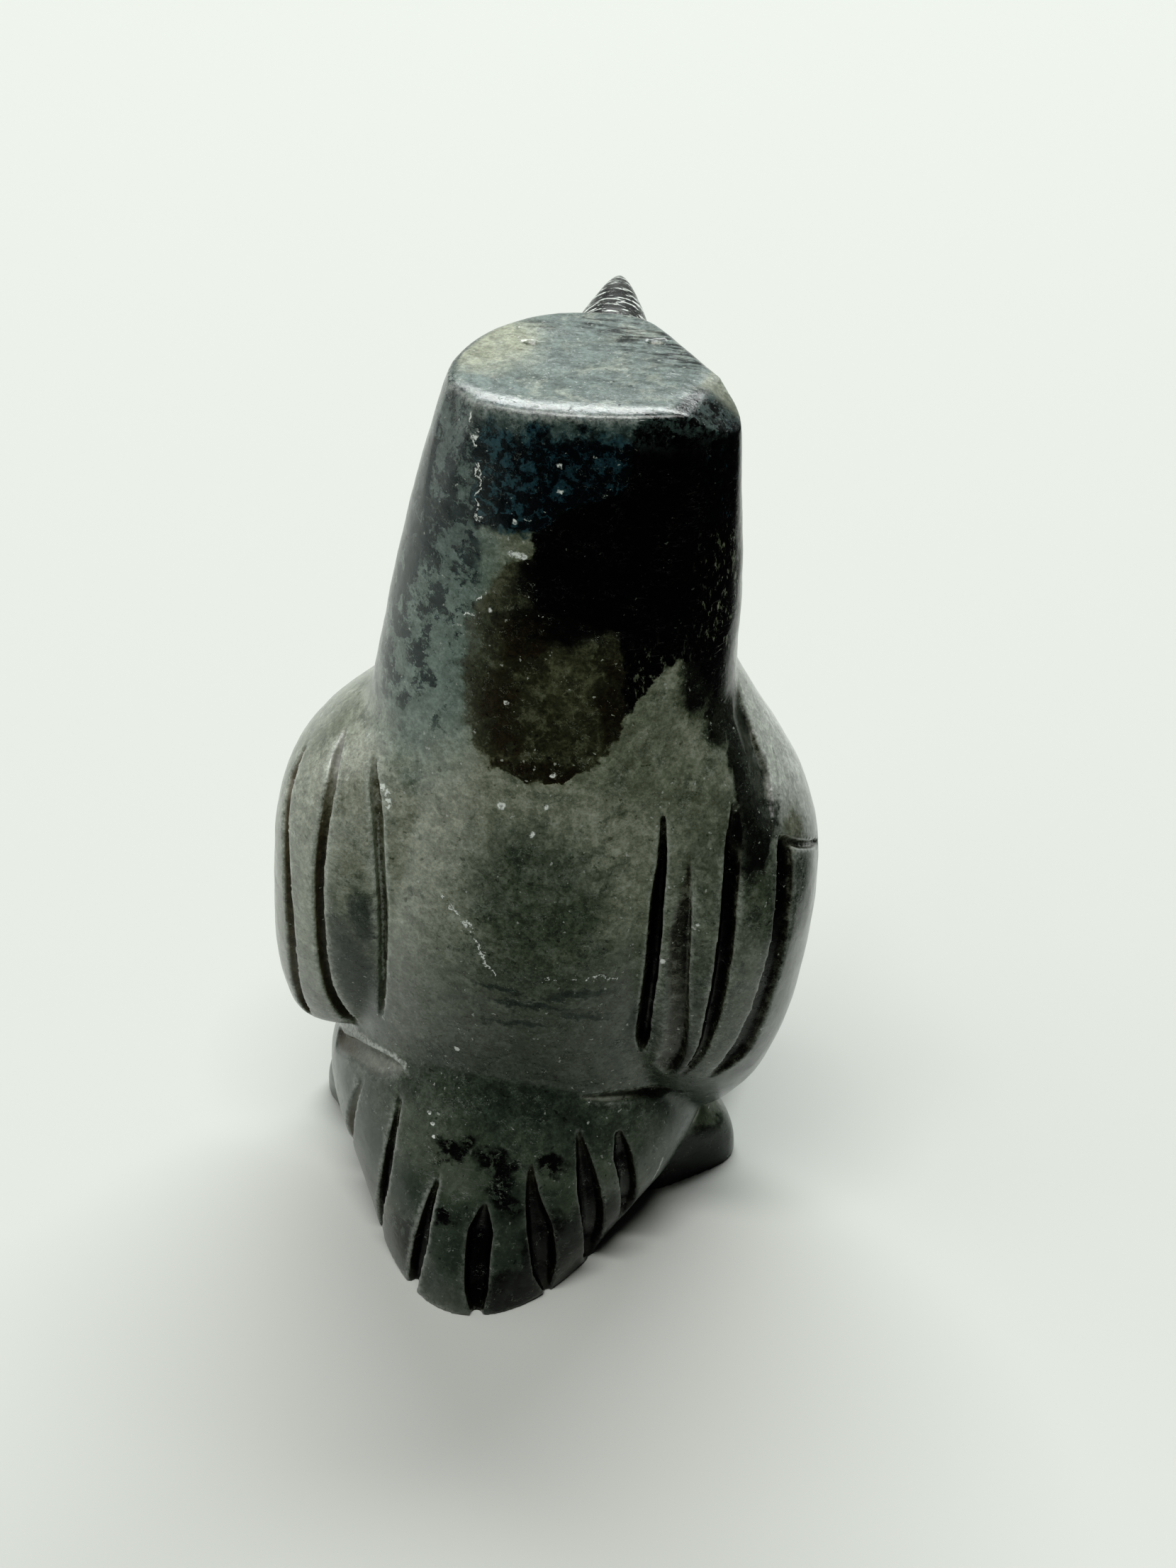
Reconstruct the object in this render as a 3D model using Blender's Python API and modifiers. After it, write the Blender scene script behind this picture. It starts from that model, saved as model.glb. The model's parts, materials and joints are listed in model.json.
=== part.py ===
"""A penguin carved from one block of soapstone, standing on its feet and its tail.

Metres, +Z up. The penguin faces -Y, its left is +X, and the origin is on the flat underside.
The forms are set out upright, then leant and twisted as the carver left them, fused into one body and
scored with the carver's grooves.
"""

import math

import bmesh
import bpy
from mathutils import Matrix, Vector
from mathutils.bvhtree import BVHTree

# Driving sizes of the figure
HEIGHT = 0.0730  # from the underside to the flat crown
WING_SPAN = 0.0434  # across both wings
TAIL_REACH = 0.0227  # from the upright axis back to the tail's tip
BEAK_REACH = 0.0202  # from the upright axis forward to the beak's tip
TOE_REACH = 0.0195  # from the upright axis forward to the toes
FOOT_WIDTH = 0.0125
FOOT_HEIGHT = 0.0062

# How the carver left the block out of true
CROWN_LEAN = 0.0062  # how far the head stands to the penguin's right
LEAN_POWER = 1.9
BASE_TURN = math.radians(-3.6)
CROWN_TURN = math.radians(5.0)

# How the mesh is made
RING_SIDES = 16
SMOOTH_LEVELS = 2
BODY_GRAIN = 0.0005
BODY_BLEND = 8
CUT_GRAIN = 0.0003
CUT_BLEND = 1
BLADE_ROWS = 14
BLADE_LIFT = 0.0007
BLADE_LEAST = 0.12  # the share of its width and depth that a blade keeps where it runs out
V_MIDDLE = 0.5  # the shares of its width and depth at which a V's side is halfway
SQUARE_OUT = 0.3  # how much further out and down a square bottom takes that point
SQUARE_DOWN = 0.35
MOST_TRIANGLES = 9400

# The figure's proportions are shares of its height, written as millimetres on a figure 73 mm tall
SHARE = HEIGHT / 73.0
HALF_SPAN = WING_SPAN / 2
LEFT, RIGHT = 1, -1

STONE_COLOUR = (0.075, 0.085, 0.078, 1.0)
STONE_ROUGHNESS = 0.3

# Trunk and head from the underside up: height, back, front, half width, squareness, front pinch
TRUNK = (
    (-4.0, 9.0, 11.0, 12.0, 2.4, 0.0),
    (6.0, 11.0, 13.0, 13.5, 2.4, 0.0),
    (15.0, 12.2, 14.6, 15.2, 2.4, 0.0),
    (26.0, 13.4, 15.6, 15.8, 2.4, 0.0),
    (36.0, 12.9, 15.0, 15.2, 2.4, 0.0),
    (44.0, 11.2, 13.2, 14.3, 2.4, 0.0),
    (51.0, 9.6, 11.2, 13.4, 2.5, 0.05),
    (58.0, 8.4, 10.2, 12.85, 2.7, 0.12),
    (65.0, 7.6, 10.4, 11.8, 2.8, 0.12),
    (71.0, 6.8, 10.3, 10.9, 2.8, 0.11),
    (77.0, 5.6, 8.9, 10.0, 2.8, 0.12),
)

# Wing from tip to shoulder: rise, share of the half span reached by the outer face on the left and on the
# right, half width, back, front
WING = (
    (0.0, 0.930, 0.810, 6.0, 7.6, 6.8),
    (3.0, 0.970, 0.945, 7.4, 9.0, 8.0),
    (9.0, 0.980, 1.010, 8.4, 10.4, 9.2),
    (16.0, 0.975, 1.035, 9.0, 11.2, 9.8),
    (23.0, 0.965, 1.030, 9.2, 11.2, 9.8),
    (28.0, 0.910, 0.940, 8.8, 10.6, 9.2),
    (32.0, 0.740, 0.820, 8.0, 9.6, 8.6),
    (36.0, 0.530, 0.670, 6.6, 8.4, 7.6),
    (41.0, 0.490, 0.550, 5.0, 7.0, 6.4),
)
WING_SQUARENESS = {LEFT: 2.4, RIGHT: 2.6}
WING_TOP = 52.0
WING_TIP = {LEFT: 16.0, RIGHT: 10.2}
TIP_SLANT = {LEFT: 0.8, RIGHT: 1.2}
TIP_DEPTH = {LEFT: 1.0, RIGHT: 0.66}  # how much of its back the wing keeps at its tip
TIP_RISE = 9.0  # over which it gets the rest

# Tail skirt from the underside up: height, back as a share of the tail's reach, half width, squareness
SKIRT = (
    (-3.0, 1.02, 11.0, 2.1),
    (0.0, 1.00, 11.8, 2.1),
    (3.0, 0.94, 13.6, 2.2),
    (6.0, 0.86, 16.1, 2.2),
    (9.0, 0.76, 16.9, 2.3),
    (12.0, 0.67, 16.0, 2.3),
    (16.0, 0.58, 14.2, 2.3),
    (20.0, 0.50, 12.0, 2.3),
)
SKIRT_FRONT = 8.0
SKIRT_SHIFT = 0.7  # towards the penguin's left

# Foot from heel to toes: share of its length, inner and outer edge as shares of its width from its middle
# line, top as a share of its height
FOOT = (
    (0.00, -0.30, -0.04, 0.60),
    (0.05, -0.44, 0.10, 0.90),
    (0.12, -0.49, 0.26, 1.00),
    (0.18, -0.50, 0.40, 1.00),
    (0.24, -0.50, 0.48, 1.00),
    (0.29, -0.50, 0.47, 1.00),
    (0.35, -0.50, 0.40, 0.98),
    (0.43, -0.50, 0.27, 0.95),
    (0.60, -0.50, 0.29, 0.92),
    (0.80, -0.46, 0.36, 0.85),
    (0.94, -0.40, 0.28, 0.66),
    (1.00, -0.20, 0.10, 0.35),
)
FOOT_MIDDLE = {LEFT: 12.9, RIGHT: 12.3}
HEEL = 5.6
FOOT_SQUARENESS = 3.2

# Beak from root to tip: share of its length, half width, upper and lower depth, height
BEAK = (
    (-0.35, 4.8, 3.2, 6.4, 67.6),
    (0.0, 4.0, 3.1, 5.2, 68.2),
    (0.45, 3.0, 2.3, 2.9, 69.5),
    (0.86, 1.2, 1.0, 1.1, 70.8),
    (1.0, 0.35, 0.35, 0.35, 71.2),
)
BEAK_ROOT = 10.0

# A cut is its path, then its widths to the left and right of the path looking along it from outside, its
# depth, how square its bottom is, and the shares of its length over which it runs out at its start and end.
# On the back, wings and tail a path is of (azimuth, height), the azimuth in degrees from straight back round
# to the penguin's left.
GROOVES = {
    "left_wing_inner": (
        ((50, 45.3), (46.3, 44.1), (40.5, 41.8), (38.3, 38.0), (38.3, 33.0), (41.1, 26.3), (45.8, 19.4)),
        (0.42, 0.42, 0.85, 0.6, 0.20, 0.10),
    ),
    "left_wing_middle": (
        ((72, 44.6), (64, 43.8), (57, 42.6), (51.9, 40.3), (51.5, 34.5), (53.4, 26.7), (59, 16.4)),
        (0.80, 0.22, 0.80, 0.6, 0.25, 0.02),
    ),
    "left_wing_outer": (
        ((80, 41.8), (73.9, 40.6), (66, 37.9), (62.2, 33.9), (62.1, 26.7), (64.5, 22.1), (69, 16)),
        (1.10, 0.25, 0.90, 0.5, 0.25, 0.02),
    ),
    "right_wing_inner": (
        ((-54.8, 45.2), (-53.9, 43.5), (-51.0, 38.9), (-49.0, 34.5), (-47.4, 24.7), (-48.5, 19.8)),
        (0.52, 0.52, 1.30, 0.9, 0.45, 0.06),
    ),
    "right_wing_shallow": (
        ((-56.8, 41.0), (-54.5, 36.4), (-53.1, 30.5), (-53.6, 23.7), (-55.2, 17.2)),
        (1.7, 0.25, 0.60, 0.3, 0.35, 0.03),
    ),
    "right_wing_middle": (
        ((-68.6, 44), (-66.9, 42.6), (-63, 40.1), (-59.4, 35), (-57.2, 25.6), (-57.2, 20.4), (-57.1, 16.4)),
        (0.40, 0.95, 1.15, 0.6, 0.18, 0.35),
    ),
    "right_wing_outer": (
        ((-75.0, 39.4), (-73.4, 38.1), (-70.2, 34.9), (-67.8, 30.2), (-65.8, 25.6), (-64, 21.5), (-62, 16.8)),
        (0.45, 1.80, 1.15, 0.6, 0.06, 0.15),
    ),
    "shoulder_edge": (
        ((-92, 48.6), (-87.5, 47.2), (-84.8, 45.7), (-82.3, 43.7), (-79, 42.3), (-75.5, 40.9), (-73, 39.6)),
        (3.0, 0.15, 0.50, 0.2, 0.30, 0.20),
    ),
    "wing_notch": (
        ((-74.4, 39.3), (-79.6, 37.5), (-87.0, 35.4), (-95.0, 33.4)),
        (0.35, 0.45, 0.60, 0.4, 0.10, 0.20),
    ),
    "tail_1": (
        ((33.2, 15.2), (31.0, 9.8), (30.6, 6.8), (33.2, 2.0), (33.6, -1.0)),
        (0.70, 0.70, 1.10, 0.8, 0.6, 0.0),
    ),
    "tail_2": (
        ((13.4, 10.6), (14.8, 7.3), (15.2, 4.7), (16.2, 1.5), (16.6, -1.2)),
        (0.70, 0.70, 1.20, 0.8, 0.6, 0.15),
    ),
    "tail_3": (
        ((-0.1, 8.6), (0.5, 5.9), (0.4, 3.4), (-0.1, 0.2), (-0.2, -1.2)),
        (1.00, 1.00, 1.35, 0.9, 0.25, 0.40),
    ),
    "tail_4": (
        ((-12.3, 11.8), (-12.8, 8.9), (-14.6, 6.3), (-15.4, 2.6), (-16.0, -0.5)),
        (1.05, 1.05, 1.30, 0.8, 0.5, 0.30),
    ),
    "tail_5": (
        ((-27.6, 13.8), (-28.2, 11.1), (-28.4, 8.4), (-29.2, 3.2), (-29.5, 0.0)),
        (1.00, 1.00, 1.20, 0.8, 0.4, 0.1),
    ),
    "tail_6": (
        ((-40.3, 13.0), (-40.1, 9.7), (-40.7, 3.6)),
        (0.90, 0.90, 1.10, 0.8, 0.3, 0.1),
    ),
    "right_ledge": (
        ((-25.4, 15.9), (-37.6, 15.7), (-44.9, 15.3), (-54.2, 14.6), (-60.0, 14.0), (-65.0, 13.9)),
        (0.80, 0.12, 0.60, 0.3, 0.4, 0.15),
    ),
    "left_ledge": (
        ((75.0, 12.9), (68.0, 13.6), (61.5, 14.7), (55.5, 15.3), (45.7, 16.0), (37.3, 16.2), (31.0, 15.7)),
        (2.20, 0.15, 0.60, 0.1, 0.05, 0.35),
    ),
    "left_foot_crease": (
        ((48.5, 13.6), (49.5, 11.4), (50.5, 8.4), (53.5, 4.4), (57.0, 0.0)),
        (1.40, 0.25, 1.10, 0.3, 0.40, 0.0),
    ),
}

# On the feet a path is of points near the surface. The toe cuts are given for the upright figure's left foot.
TOE_CUTS = (
    (
        ((12.2, -8.0, 6.0), (14.2, -13.0, 5.8), (15.2, -17.5, 4.2), (15.6, -20.5, 0.5)),
        (0.55, 0.55, 1.00, 0.5, 0.3, 0.1),
    ),
    (
        ((10.2, -8.5, 6.0), (10.8, -14.0, 5.8), (10.8, -18.0, 4.2), (10.6, -20.8, 0.5)),
        (0.55, 0.55, 1.00, 0.5, 0.3, 0.1),
    ),
)
# The front edge of each wing and one feather, as azimuths and heights for the left wing
FRONT_CUTS = (
    (
        ((150.0, 46.0), (138.0, 42.0), (133.0, 36.0), (131.0, 29.0), (131.0, 23.0)),
        (0.25, 1.6, 0.55, 0.3, 0.3, 0.3),
    ),
    (
        ((112.0, 42.0), (107.0, 36.0), (105.0, 29.0), (105.0, 22.0)),
        (0.8, 0.3, 0.60, 0.3, 0.3, 0.3),
    ),
)

# Two short nicks on the crown
EYES = (
    ((-1.3, -3.5, 73.0), (-0.1, -3.3, 73.0)),
    ((-9.9, -5.1, 73.0), (-8.5, -4.8, 73.0)),
)
EYE_CUT = (0.35, 0.35, 0.35, 0.8, 0.3, 0.3)

# Corners taken off the head with a flat cut, each a point on the cut, the way it faces and its size
HEAD_CORNERS = {
    "crown_corner": ((-13.4, 0.6, 73.0), (-0.62, 0.16, 0.77), 10.0),
    "nape_corner": ((3.6, 4.2, 70.4), (0.66, 0.70, 0.27), 16.0),
}

# Flat faces dressed on the block, each by a point on it and the way it faces
RIGHT_CHEEK = ((-11.8, -4.3, 73.0), (-0.80, -0.60, 0.14))
TAIL_CORNER = ((8.3, 16.9, 0.0), (0.80, 0.60, 0.04))


def clear_scene():
    for item in list(bpy.data.objects):
        bpy.data.objects.remove(item, do_unlink=True)
    for mesh in list(bpy.data.meshes):
        bpy.data.meshes.remove(mesh)


def new_collection(name, shown):
    collection = bpy.data.collections.new(name)
    bpy.context.scene.collection.children.link(collection)
    collection.hide_render = not shown
    return collection


def stone():
    material = bpy.data.materials.new("soapstone")
    material.use_nodes = True
    shader = material.node_tree.nodes["Principled BSDF"]
    shader.inputs["Base Color"].default_value = STONE_COLOUR
    shader.inputs["Roughness"].default_value = STONE_ROUGHNESS
    material.diffuse_color = STONE_COLOUR
    return material


def posed(point):
    """A point of the upright figure where the leaning, twisted one has it."""
    rise = max(0.0, point.z / HEIGHT)
    turn = BASE_TURN + (CROWN_TURN - BASE_TURN) * rise
    moved = Matrix.Rotation(turn, 3, "Z") @ point
    moved.x -= CROWN_LEAN * rise**LEAN_POWER
    return moved


def shaved(point, face):
    """The point, or where it lands on the dressed face if it stands out beyond it."""
    place, facing = Vector(face[0]) * SHARE, Vector(face[1]).normalized()
    beyond = (point - place).dot(facing)
    return point - facing * max(0.0, beyond)


def section(height, back, front, half_width, power, pinch=0.0, across=0.0):
    """One level ring: a superellipse that may be deeper at the back or front and narrower in front."""
    points = []
    for step in range(RING_SIDES):
        angle = 2 * math.pi * step / RING_SIDES
        c, s = math.cos(angle), math.sin(angle)
        reach = (abs(c) ** power + abs(s) ** power) ** (-1 / power)
        narrow = 1.0 - pinch * max(0.0, -s * reach)
        x = half_width * reach * c * narrow
        y = (back if s > 0 else front) * reach * s
        points.append(Vector((across + x, y, height)))
    return points


def add_object(name, mesh, collection):
    item = bpy.data.objects.new(name, mesh)
    collection.objects.link(item)
    return item


def skin(name, rows, collection, creased_ends=(0.0, 0.0), levels=SMOOTH_LEVELS):
    """A closed skin through rows of equal count, rounded by subdivision."""
    shape = bmesh.new()
    rows = [[shape.verts.new(p) for p in row] for row in rows]
    count = len(rows[0])
    for low, high in zip(rows, rows[1:]):
        for i in range(count):
            j = (i + 1) % count
            shape.faces.new((low[i], low[j], high[j], high[i]))
    ends = (shape.faces.new(list(reversed(rows[0]))), shape.faces.new(rows[-1]))
    crease = shape.edges.layers.float.new("crease_edge")
    for face, amount in zip(ends, creased_ends):
        for edge in face.edges:
            edge[crease] = amount
    bmesh.ops.recalc_face_normals(shape, faces=shape.faces)
    if shape.calc_volume(signed=True) < 0:
        bmesh.ops.reverse_faces(shape, faces=shape.faces)
    mesh = bpy.data.meshes.new(name)
    shape.to_mesh(mesh)
    shape.free()
    item = add_object(name, mesh, collection)
    if levels:
        rounding = item.modifiers.new("rounding", "SUBSURF")
        rounding.levels = rounding.render_levels = levels
    return item


def trunk(collection):
    rings = []
    for z, b, f, w, power, pinch in TRUNK:
        ring = section(z * SHARE, b * SHARE, f * SHARE, w * SHARE, power, pinch)
        rings.append([shaved(posed(p), RIGHT_CHEEK) for p in ring])
    return skin("trunk", rings, collection)


def wing(side, collection):
    """One wing, with a flat lower end that slants down outwards."""
    tip = WING_TIP[side]
    stretch = (WING_TOP - tip) / WING[-1][0]
    rings = []
    for rise, left, right, w, b, f in WING:
        reach = left if side == LEFT else right
        middle = side * (HALF_SPAN * reach - w * SHARE)
        height = (tip + rise * stretch) * SHARE
        back = b * (1 - (1 - TIP_DEPTH[side]) * max(0.0, 1 - rise / TIP_RISE))
        ring = section(height, back * SHARE, f * SHARE, w * SHARE, WING_SQUARENESS[side], across=middle)
        if rise == 0:
            for p in ring:
                p.z -= TIP_SLANT[side] * SHARE * side * (p.x - middle) / (w * SHARE)
        rings.append([posed(p) for p in ring])
    return skin("wing", rings, collection, creased_ends=(0.9, 0.0))


def skirt(collection):
    rings = []
    for z, reach, w, power in SKIRT:
        back, front = TAIL_REACH * reach, SKIRT_FRONT * SHARE
        ring = section(z * SHARE, back, front, w * SHARE, power, across=SKIRT_SHIFT * SHARE)
        rings.append([shaved(posed(p), TAIL_CORNER) for p in ring])
    return skin("skirt", rings, collection)


def foot(side, collection):
    """A foot, its outer lobe by the heel and its toes under the breast."""
    middle = FOOT_MIDDLE[side] * SHARE
    heel = HEEL * SHARE
    rings = []
    for share, inner, outer, top in FOOT:
        y = heel - share * (heel + TOE_REACH)
        across = side * (middle + FOOT_WIDTH * (inner + outer) / 2)
        half_width = FOOT_WIDTH * (outer - inner) / 2
        ring = section(0, FOOT_HEIGHT * top, FOOT_HEIGHT * top, half_width, FOOT_SQUARENESS, across=across)
        rings.append([posed(Vector((p.x, y, p.y))) for p in ring])
    return skin("foot", rings, collection)


def beak(collection):
    root = BEAK_ROOT * SHARE
    rings = []
    for share, w, up, down, z in BEAK:
        y = -(root + share * (BEAK_REACH - root))
        ring = section(0, up * SHARE, down * SHARE, w * SHARE, 1.7)
        rings.append([posed(Vector((p.x, y, z * SHARE + p.y))) for p in ring])
    return skin("beak", rings, collection)


def joined(name, pieces, collection):
    """One mesh of all the pieces as their modifiers leave them, still overlapping."""
    graph = bpy.context.evaluated_depsgraph_get()
    graph.update()
    whole = bmesh.new()
    for piece in pieces:
        mesh = bpy.data.meshes.new_from_object(piece.evaluated_get(graph))
        whole.from_mesh(mesh)
        bpy.data.meshes.remove(mesh)
    mesh = bpy.data.meshes.new(name)
    whole.to_mesh(mesh)
    whole.free()
    return add_object(name, mesh, collection)


def settle(item):
    """Replaces the object's mesh with what its modifiers make of it."""
    graph = bpy.context.evaluated_depsgraph_get()
    graph.update()
    mesh = bpy.data.meshes.new_from_object(item.evaluated_get(graph))
    item.modifiers.clear()
    item.data = mesh


def fuse(item, grain, steps):
    """One closed skin over everything that overlaps, blended by so many steps of smoothing."""
    remesh = item.modifiers.new("fusing", "REMESH")
    remesh.mode = "VOXEL"
    remesh.voxel_size = grain
    smooth = item.modifiers.new("blending", "SMOOTH")
    smooth.factor = 0.5
    smooth.iterations = steps
    settle(item)


def slab(name, centre, facing, size, collection):
    """A block with one face at centre, lying on the side that facing points to."""
    shape = bmesh.new()
    bmesh.ops.create_cube(shape, size=size)
    bmesh.ops.translate(shape, verts=shape.verts, vec=(0, 0, size / 2))
    rotation = Vector(facing).to_track_quat("Z", "Y").to_matrix().to_4x4()
    bmesh.ops.transform(shape, matrix=Matrix.Translation(centre) @ rotation, verts=shape.verts)
    mesh = bpy.data.meshes.new(name)
    shape.to_mesh(mesh)
    shape.free()
    return add_object(name, mesh, collection)


def cut(item, cutter):
    cutter.display_type = "WIRE"
    cutting = item.modifiers.new(cutter.name, "BOOLEAN")
    cutting.operation = "DIFFERENCE"
    cutting.solver = "MANIFOLD"
    cutting.object = cutter


def curve_through(points, rows):
    """Evenly stepped points on a smooth curve through the given ones."""
    ends = [points[0]] + list(points) + [points[-1]]
    fine = []
    for a, b, c, d in zip(ends, ends[1:], ends[2:], ends[3:]):
        for step in range(12):
            t = step / 12
            bend = (2 * a - 5 * b + 4 * c - d) * t * t + (3 * b - a - 3 * c + d) * t**3
            fine.append(b + ((c - a) * t + bend) / 2)
    fine.append(points[-1])
    lengths = [0.0]
    for p, q in zip(fine, fine[1:]):
        lengths.append(lengths[-1] + (q - p).length)
    picked = []
    for row in range(rows):
        goal = lengths[-1] * row / (rows - 1)
        k = max(1, next((i for i, reach in enumerate(lengths) if reach >= goal), len(fine) - 1))
        share = (goal - lengths[k - 1]) / max(1e-9, lengths[k] - lengths[k - 1])
        picked.append(fine[k - 1].lerp(fine[k], min(1.0, share)))
    return picked


def surface_of(item):
    shape = bmesh.new()
    shape.from_mesh(item.data)
    tree = BVHTree.FromBMesh(shape)
    shape.free()
    return tree


def spots_around(surface, path):
    """Where a path of (azimuth, height) meets the surface, with the way the surface faces there."""
    spots = []
    for azimuth, height, _ in curve_through([Vector((a, h, 0)) for a, h in path], BLADE_ROWS):
        outward = Vector((math.sin(math.radians(azimuth)), math.cos(math.radians(azimuth)), 0))
        start = outward * HEIGHT + Vector((0, 0, height * SHARE))
        place, facing, _, _ = surface.ray_cast(start, -outward)
        spots.append((place, facing))
    return spots


def spots_near(surface, path):
    """The surface spots nearest to a path of points."""
    points = curve_through([Vector(p) * SHARE for p in path], BLADE_ROWS)
    return [surface.find_nearest(p)[:2] for p in points]


def evened(spots):
    """The spots with each place and facing drawn towards its neighbours'."""
    for _ in range(3):
        inner = [
            ((a[0] + b[0] * 2 + c[0]) / 4, (a[1] + b[1] * 2 + c[1]).normalized())
            for a, b, c in zip(spots, spots[1:], spots[2:])
        ]
        spots = [spots[0]] + inner + [spots[-1]]
    return spots


def frames(spots):
    """How far along it is, the place, and the ways across the path and out of the stone, at every spot."""
    spots = evened(spots)
    last = len(spots) - 1
    for i, (place, facing) in enumerate(spots):
        ahead = spots[min(i + 1, last)][0] - spots[max(i - 1, 0)][0]
        across = ahead.cross(facing).normalized()
        yield i / last, place, across, across.cross(ahead).normalized()


def run_at(along, start, end):
    """How much of its size a cut has there, as it runs out over shares of its length at its start and end."""
    run_in = along / start if start else 1.0
    run_out = (1 - along) / end if end else 1.0
    return min(1.0, BLADE_LEAST + min(run_in, run_out))


def blade(name, spots, shape, collection):
    """A cutter along the spots that runs out at its ends: a V, or a trough as its bottom squares off."""
    left, right, depth = (size * SHARE for size in shape[:3])
    square, start, end = shape[3:]
    rows = []
    for along, place, across, up in frames(spots):
        run = run_at(along, start, end)
        near, far, low = left * run, -right * run, -depth * run
        out, down = V_MIDDLE + SQUARE_OUT * square, low * (V_MIDDLE + SQUARE_DOWN * square)
        outline = (
            (far, BLADE_LIFT),
            (far, 0.0),
            (far * out, down),
            (0.0, low),
            (near * out, down),
            (near, 0.0),
            (near, BLADE_LIFT),
        )
        rows.append([place + across * x + up * z for x, z in outline])
    return skin(name, rows, collection, levels=0)


def dressed(penguin, collection):
    """Takes the corners off the head."""
    for name, (place, facing, size) in HEAD_CORNERS.items():
        cut(penguin, slab(name, Vector(place) * SHARE, facing, size * SHARE, collection))
    settle(penguin)


def score(penguin, collection):
    """Cuts every groove into the fused body."""
    surface = surface_of(penguin)
    for name, (path, shape) in GROOVES.items():
        cut(penguin, blade(name, spots_around(surface, path), shape, collection))
    for side in (LEFT, RIGHT):
        for path, shape in TOE_CUTS:
            path = [posed(Vector((side * x, y, z)) * SHARE) / SHARE for x, y, z in path]
            cut(penguin, blade("toe_cut", spots_near(surface, path), shape, collection))
        for path, (near, far, *rest) in FRONT_CUTS:
            path = [(side * azimuth, height) for azimuth, height in path]
            shape = (near, far, *rest) if side == LEFT else (far, near, *rest)
            cut(penguin, blade("front_cut", spots_around(surface, path), shape, collection))
    settle(penguin)


def thinned(item, most):
    """Draws the triangles together where the surface is flattest."""
    triangles = sum(len(face.vertices) - 2 for face in item.data.polygons)
    thin = item.modifiers.new("facets", "DECIMATE")
    thin.ratio = most / triangles
    settle(item)


def main():
    clear_scene()
    figure = new_collection("soapstone penguin", True)
    forms = new_collection("forms", False)
    cutters = new_collection("cutters", False)
    pieces = [
        trunk(forms),
        wing(LEFT, forms),
        wing(RIGHT, forms),
        skirt(forms),
        foot(LEFT, forms),
        foot(RIGHT, forms),
        beak(forms),
    ]
    penguin = joined("penguin_carving", pieces, figure)
    fuse(penguin, BODY_GRAIN, BODY_BLEND)
    dressed(penguin, cutters)
    score(penguin, cutters)
    fuse(penguin, CUT_GRAIN, CUT_BLEND)
    thinned(penguin, MOST_TRIANGLES)
    crown = posed(Vector((0, 0, HEIGHT)))
    cut(penguin, slab("crown_cut", crown, (0, 0, 1), HEIGHT, cutters))
    cut(penguin, slab("ground_cut", Vector((0, 0, 0)), (0, 0, -1), 2 * HEIGHT, cutters))
    settle(penguin)
    surface = surface_of(penguin)
    for path in EYES:
        cut(penguin, blade("eye", spots_near(surface, path), EYE_CUT, cutters))
    settle(penguin)
    penguin.data.materials.clear()
    penguin.data.materials.append(stone())


main()
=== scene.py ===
"""The soapstone penguin carving as its photograph shows it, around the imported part.

Metres, +Z up. The penguin faces -Y, its left is +X, and the origin is on the flat underside. The stone piece
is made from the part's own forms and cuts on a finer grain, with the carver's finer work added.
"""

import json
import math

import bmesh
import bpy
import numpy as np
from mathutils import Matrix, Vector, noise
from mathutils.bvhtree import BVHTree

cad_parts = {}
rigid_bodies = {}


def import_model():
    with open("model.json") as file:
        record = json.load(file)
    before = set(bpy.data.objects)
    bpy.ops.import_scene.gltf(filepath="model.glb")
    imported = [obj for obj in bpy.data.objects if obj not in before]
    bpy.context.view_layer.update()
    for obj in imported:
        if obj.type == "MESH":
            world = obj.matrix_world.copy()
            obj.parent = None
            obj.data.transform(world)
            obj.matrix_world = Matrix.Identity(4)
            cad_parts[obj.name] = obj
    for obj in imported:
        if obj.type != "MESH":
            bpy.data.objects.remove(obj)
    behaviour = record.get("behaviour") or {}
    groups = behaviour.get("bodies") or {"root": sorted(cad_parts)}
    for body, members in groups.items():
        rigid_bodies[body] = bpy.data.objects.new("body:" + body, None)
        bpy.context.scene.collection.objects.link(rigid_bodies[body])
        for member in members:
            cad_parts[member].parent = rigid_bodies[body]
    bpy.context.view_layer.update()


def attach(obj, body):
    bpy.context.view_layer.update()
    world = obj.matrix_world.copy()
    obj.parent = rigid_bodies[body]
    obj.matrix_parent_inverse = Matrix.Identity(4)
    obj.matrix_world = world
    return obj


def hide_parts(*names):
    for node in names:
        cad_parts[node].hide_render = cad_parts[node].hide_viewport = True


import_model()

# The stone's material, whose nodes are added by the functions that follow
STONE = bpy.data.materials.new("polished_soapstone")
STONE.use_nodes = True
TREE = STONE.node_tree
TREE.nodes.clear()

# Holds the forms and cutters that the stone is made with, and isn't rendered
WORKSHOP = bpy.data.collections.new("workshop")
WORKSHOP.hide_render = True
bpy.context.scene.collection.children.link(WORKSHOP)

# The photograph's camera, in metres and degrees round from straight in front of the penguin
CAMERA_PLACE = (-0.0287, 0.1328, 0.1385)
CAMERA_AZIMUTH = 190.0
CAMERA_PITCH = 36.7
SENSOR = 36.0
FOCAL_LENGTH = 49.96

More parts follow.
